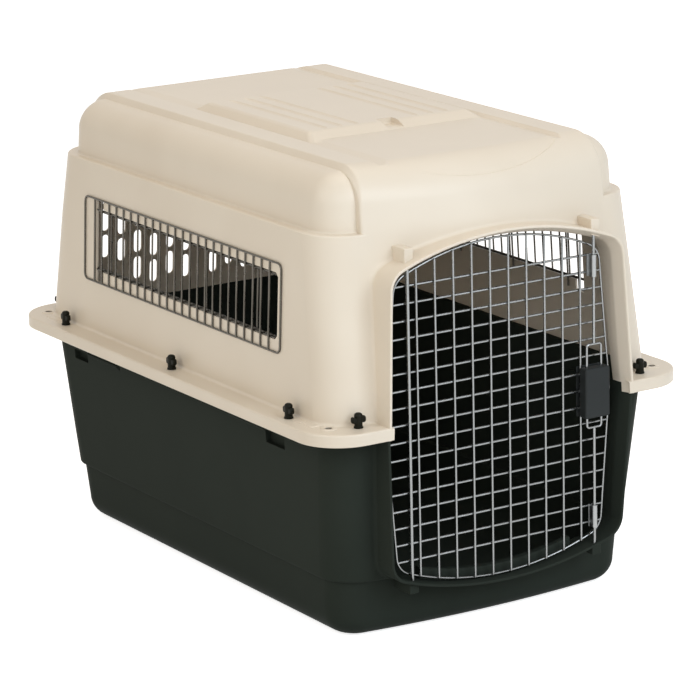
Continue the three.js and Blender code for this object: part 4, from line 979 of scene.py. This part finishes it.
def add(tree, kind, settings=None, **inputs):
    """Adds a node, sets its own settings, and gives each named input a value or a link."""
    node = tree.nodes.new(kind)
    for key, value in (settings or {}).items():
        setattr(node, key, value)
    for key, value in inputs.items():
        numbered = key[0] == "i" and key[1:].isdigit()
        socket = node.inputs[int(key[1:]) if numbered else key.replace("_", " ")]
        if isinstance(value, bpy.types.NodeSocket):
            tree.links.new(value, socket)
        else:
            socket.default_value = value
    return node


def new_material(name):
    """An empty node material and its output."""
    material = bpy.data.materials.new(name)
    material.use_nodes = True
    material.node_tree.nodes.clear()
    return material, material.node_tree


def moulded(name, colour, darker, roughness, grain, level, through=None):
    """Moulded plastic: an even colour with faint broad variation, a satin skin and a fine grain. A thin wall
    can let a little light through in a deeper colour."""
    material, tree = new_material(name)
    place = add(tree, "ShaderNodeTexCoord").outputs["Object"]
    broad = add(tree, "ShaderNodeTexNoise", Vector=place, Scale=6.0, Detail=2.0)
    fine = add(tree, "ShaderNodeTexNoise", Vector=place, Scale=900.0, Detail=1.0)
    shade = add(tree, "ShaderNodeMapRange", Value=broad.outputs["Fac"], From_Min=0.3, From_Max=0.7)
    mix = add(tree, "ShaderNodeMix", {"data_type": "RGBA"}, i0=shade.outputs["Result"],
              i6=linear(darker), i7=linear(colour))
    sheen = add(tree, "ShaderNodeMapRange", Value=broad.outputs["Fac"], From_Min=0.3, From_Max=0.7,
                To_Min=roughness - 0.03, To_Max=roughness + 0.03)
    bump = add(tree, "ShaderNodeBump", Height=fine.outputs["Fac"], Strength=grain, Distance=0.0002)
    shader = add(tree, "ShaderNodeBsdfPrincipled", Base_Color=mix.outputs[2], IOR=1.5,
                 Specular_IOR_Level=level, Roughness=sheen.outputs["Result"], Normal=bump.outputs["Normal"])
    surface = shader.outputs["BSDF"]
    if through:
        glow = add(tree, "ShaderNodeBsdfTranslucent", Color=linear(through))
        surface = add(tree, "ShaderNodeMixShader", Fac=0.05, i1=surface, i2=glow.outputs["BSDF"]).outputs[0]
    add(tree, "ShaderNodeOutputMaterial", Surface=surface)
    return material


def plated(name, colour, roughness):
    """Zinc-plated steel: metal with a slightly cloudy plating, brighter and duller in patches."""
    material, tree = new_material(name)
    place = add(tree, "ShaderNodeTexCoord").outputs["Object"]
    cloud = add(tree, "ShaderNodeTexNoise", Vector=place, Scale=120.0, Detail=3.0)
    shade = add(tree, "ShaderNodeMapRange", Value=cloud.outputs["Fac"], From_Min=0.3, From_Max=0.7,
                To_Min=roughness - 0.05, To_Max=roughness + 0.08)
    shader = add(tree, "ShaderNodeBsdfPrincipled", Base_Color=linear(colour), Metallic=1.0,
                 Roughness=shade.outputs["Result"])
    add(tree, "ShaderNodeOutputMaterial", Surface=shader.outputs["BSDF"])
    return material


# Injection-moulded beige shell: satin, very faintly uneven; a little warm light passes through the thin wall
beige = moulded("beige_moulded_plastic", "#e3d8c7", "#ded2c0", 0.34, 0.05, 0.28, "#b4622a")
# Injection-moulded dark base: near-black green with a satin skin
dark = moulded("dark_moulded_plastic", "#2e332e", "#2a2f2a", 0.48, 0.06, 0.01)
# Welded and plated wire of the door: small bright highlights on grey metal
zinc_wire = plated("zinc_plated_wire", "#8d8f8f", 0.24)
# Plated wire of the window grilles: a little duller, and its colour painted darker and warmer as a painted reflection
# of the dark inside and the beige wall
grille_wire_painted_reflection = plated("dull_plated_wire_painted_reflection", "#5e5a53", 0.28)
# Folded plated sheet: a little duller than the wire
zinc_sheet = plated("zinc_plated_sheet", "#9a9c9c", 0.32)
# Moulded latch box: charcoal, slightly rougher
charcoal = moulded("charcoal_moulded_plastic", "#2b2e2e", "#272a2a", 0.45, 0.08, 0.12)
# Moulded nuts: olive-black nylon
olive = moulded("olive_black_nylon", "#17170e", "#13130c", 0.35, 0.05, 0.10)

# Pieces
piece("top_shell_moulded", top_shell(), beige, "crate", ["top_shell"])
piece("base_shell_moulded", base_shell(), dark, "crate", ["base_shell"])
piece("door_wires", door_wires(), zinc_wire, "door", ["door_mesh"])
piece("hinge_rod", rod(HINGE_X, HINGE_Y, 78.0, 565.6, HINGE_R, 1.6, 1.0), zinc_wire, "door",
      ["door_hinge_rod"])
piece("latch_box", latch_housing(), charcoal, "door", ["latch_housing"])
piece("latch_box_back", block(132, 175, -427.05, -425.05, 278, 352, 0.8), charcoal, "door",
      ["latch_back_plate"])
for end, sizes in (("upper", (385.0, 344.9, 565.5, 349.5)), ("lower", (262.0, 285.1, 78.0, 280.5))):
    piece(f"{end}_bolt_rod", fork(*sizes), zinc_wire, f"{end}_bolt", [f"{end}_latch_bolt"])
for end, sizes in (("upper", (484.0, 516.0, 6.5)), ("lower", (112.0, 145.0, 4.6))):
    piece(f"{end}_guide_sheet", bolt_guide(*sizes), zinc_sheet, "door", [f"{end}_bolt_guide"])
for name, side in SIDES:
    piece(f"grille_wires_{name}", side_grille(side), grille_wire_painted_reflection, "crate", [f"side_grille_{name}"])
for ending, x, y in FLANGE_BOLTS:
    piece(f"nut_{ending}", wing_nut(x, y, abs(x) == SIDE_BOLT_X), olive, f"wing_nut_{ending}", [f"wing_nut_{ending}"])
    piece(f"bolt_{ending}", flange_bolt(x, y), zinc_wire, "crate", [f"flange_bolt_{ending}"])
for node in ("upper_latch_spring", "lower_latch_spring"):
    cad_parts[node].data.materials.clear()
    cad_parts[node].data.materials.append(zinc_wire)

# Floor that shows white and keeps the shadow
floor_mesh = bpy.data.meshes.new("floor")
floor_mesh.from_pydata([(-14, -14, 0), (14, -14, 0), (14, 14, 0), (-14, 14, 0)], [], [[0, 1, 2, 3]])
floor = linked("floor", floor_mesh)
floor.location.z = -0.0006
floor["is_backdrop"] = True


def seen_ray(tree):
    """One where a ray comes from the camera, or by a mirror-like bounce or through glass."""
    path = add(tree, "ShaderNodeLightPath")
    first = add(tree, "ShaderNodeMath", {"operation": "MAXIMUM"}, i0=path.outputs["Is Camera Ray"],
                i1=path.outputs["Is Glossy Ray"])
    return add(tree, "ShaderNodeMath", {"operation": "MAXIMUM"}, i0=first.outputs[0],
               i1=path.outputs["Is Transmission Ray"]).outputs[0]


floor_material, tree = new_material("white_sweep")
diffuse = add(tree, "ShaderNodeBsdfDiffuse", Color=linear("#f4f4f4"))
white = add(tree, "ShaderNodeEmission", Color=(1, 1, 1, 1), Strength=0.78)
both = add(tree, "ShaderNodeAddShader", i0=diffuse.outputs[0], i1=white.outputs[0])
plain = add(tree, "ShaderNodeMixShader", Fac=seen_ray(tree), i1=diffuse.outputs[0], i2=both.outputs[0])
add(tree, "ShaderNodeOutputMaterial", Surface=plain.outputs[0])
floor_mesh.materials.append(floor_material)

# World: white where it is seen, an even pale light elsewhere
world = bpy.data.worlds.new("studio")
bpy.context.scene.world = world
world.use_nodes = True
tree = world.node_tree
tree.nodes.clear()
pale = add(tree, "ShaderNodeBackground", Color=linear("#f5f2ec"), Strength=0.37)
shown = add(tree, "ShaderNodeBackground", Color=(1, 1, 1, 1), Strength=1.0)
mixed = add(tree, "ShaderNodeMixShader", Fac=seen_ray(tree), i1=pale.outputs[0], i2=shown.outputs[0])
add(tree, "ShaderNodeOutputWorld", Surface=mixed.outputs[0])


def softbox(name, place, target, size, power, colour):
    """A large square lamp that faces a point."""
    light = bpy.data.lights.new(name, "AREA")
    light.shape = "SQUARE"
    light.size = size
    light.energy = power
    light.color = linear(colour)[:3]
    obj = linked(name, light)
    obj.location = place
    obj.rotation_euler = (Vector(target) - Vector(place)).to_track_quat("-Z", "Y").to_euler()
    obj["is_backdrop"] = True


softbox("lamp_front", (0.7, -3.6, 2.3), (0, 0, 0.3), 2.2, 84, "#eaf4ff")
softbox("lamp_corner", (-2.0, -3.0, 2.0), (0, 0, 0.3), 1.6, 24, "#f5faff")
softbox("lamp_left", (-3.6, -0.4, 2.1), (0, 0, 0.3), 2.4, 34, "#fff7ea")
softbox("lamp_top", (0.2, 0.4, 3.8), (0, 0, 0.4), 2.6, 37, "#fff0de")

# Camera, fitted to the photograph
right = Vector((0.84434872, -0.53537844, -0.0210989))
upward = Vector((0.15333158, 0.2037134, 0.96694895))
ahead = Vector((0.51338549, 0.81967724, -0.25409557))
camera_data = bpy.data.cameras.new("camera")
camera_data.lens = 185.0
camera_data.sensor_width = 36.0
camera_data.clip_end = 60.0
camera = linked("camera", camera_data)
matrix = Matrix((right, upward, -ahead)).transposed().to_4x4()
matrix.translation = Vector((-2.775, -4.4601, 1.6873))
camera.matrix_world = matrix
bpy.context.scene.camera = camera
bpy.context.scene.view_settings.view_transform = "Standard"

sizes = {"at_load": [list(v) for v in bounds_at_load], "at_end": [list(v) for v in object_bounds()]}
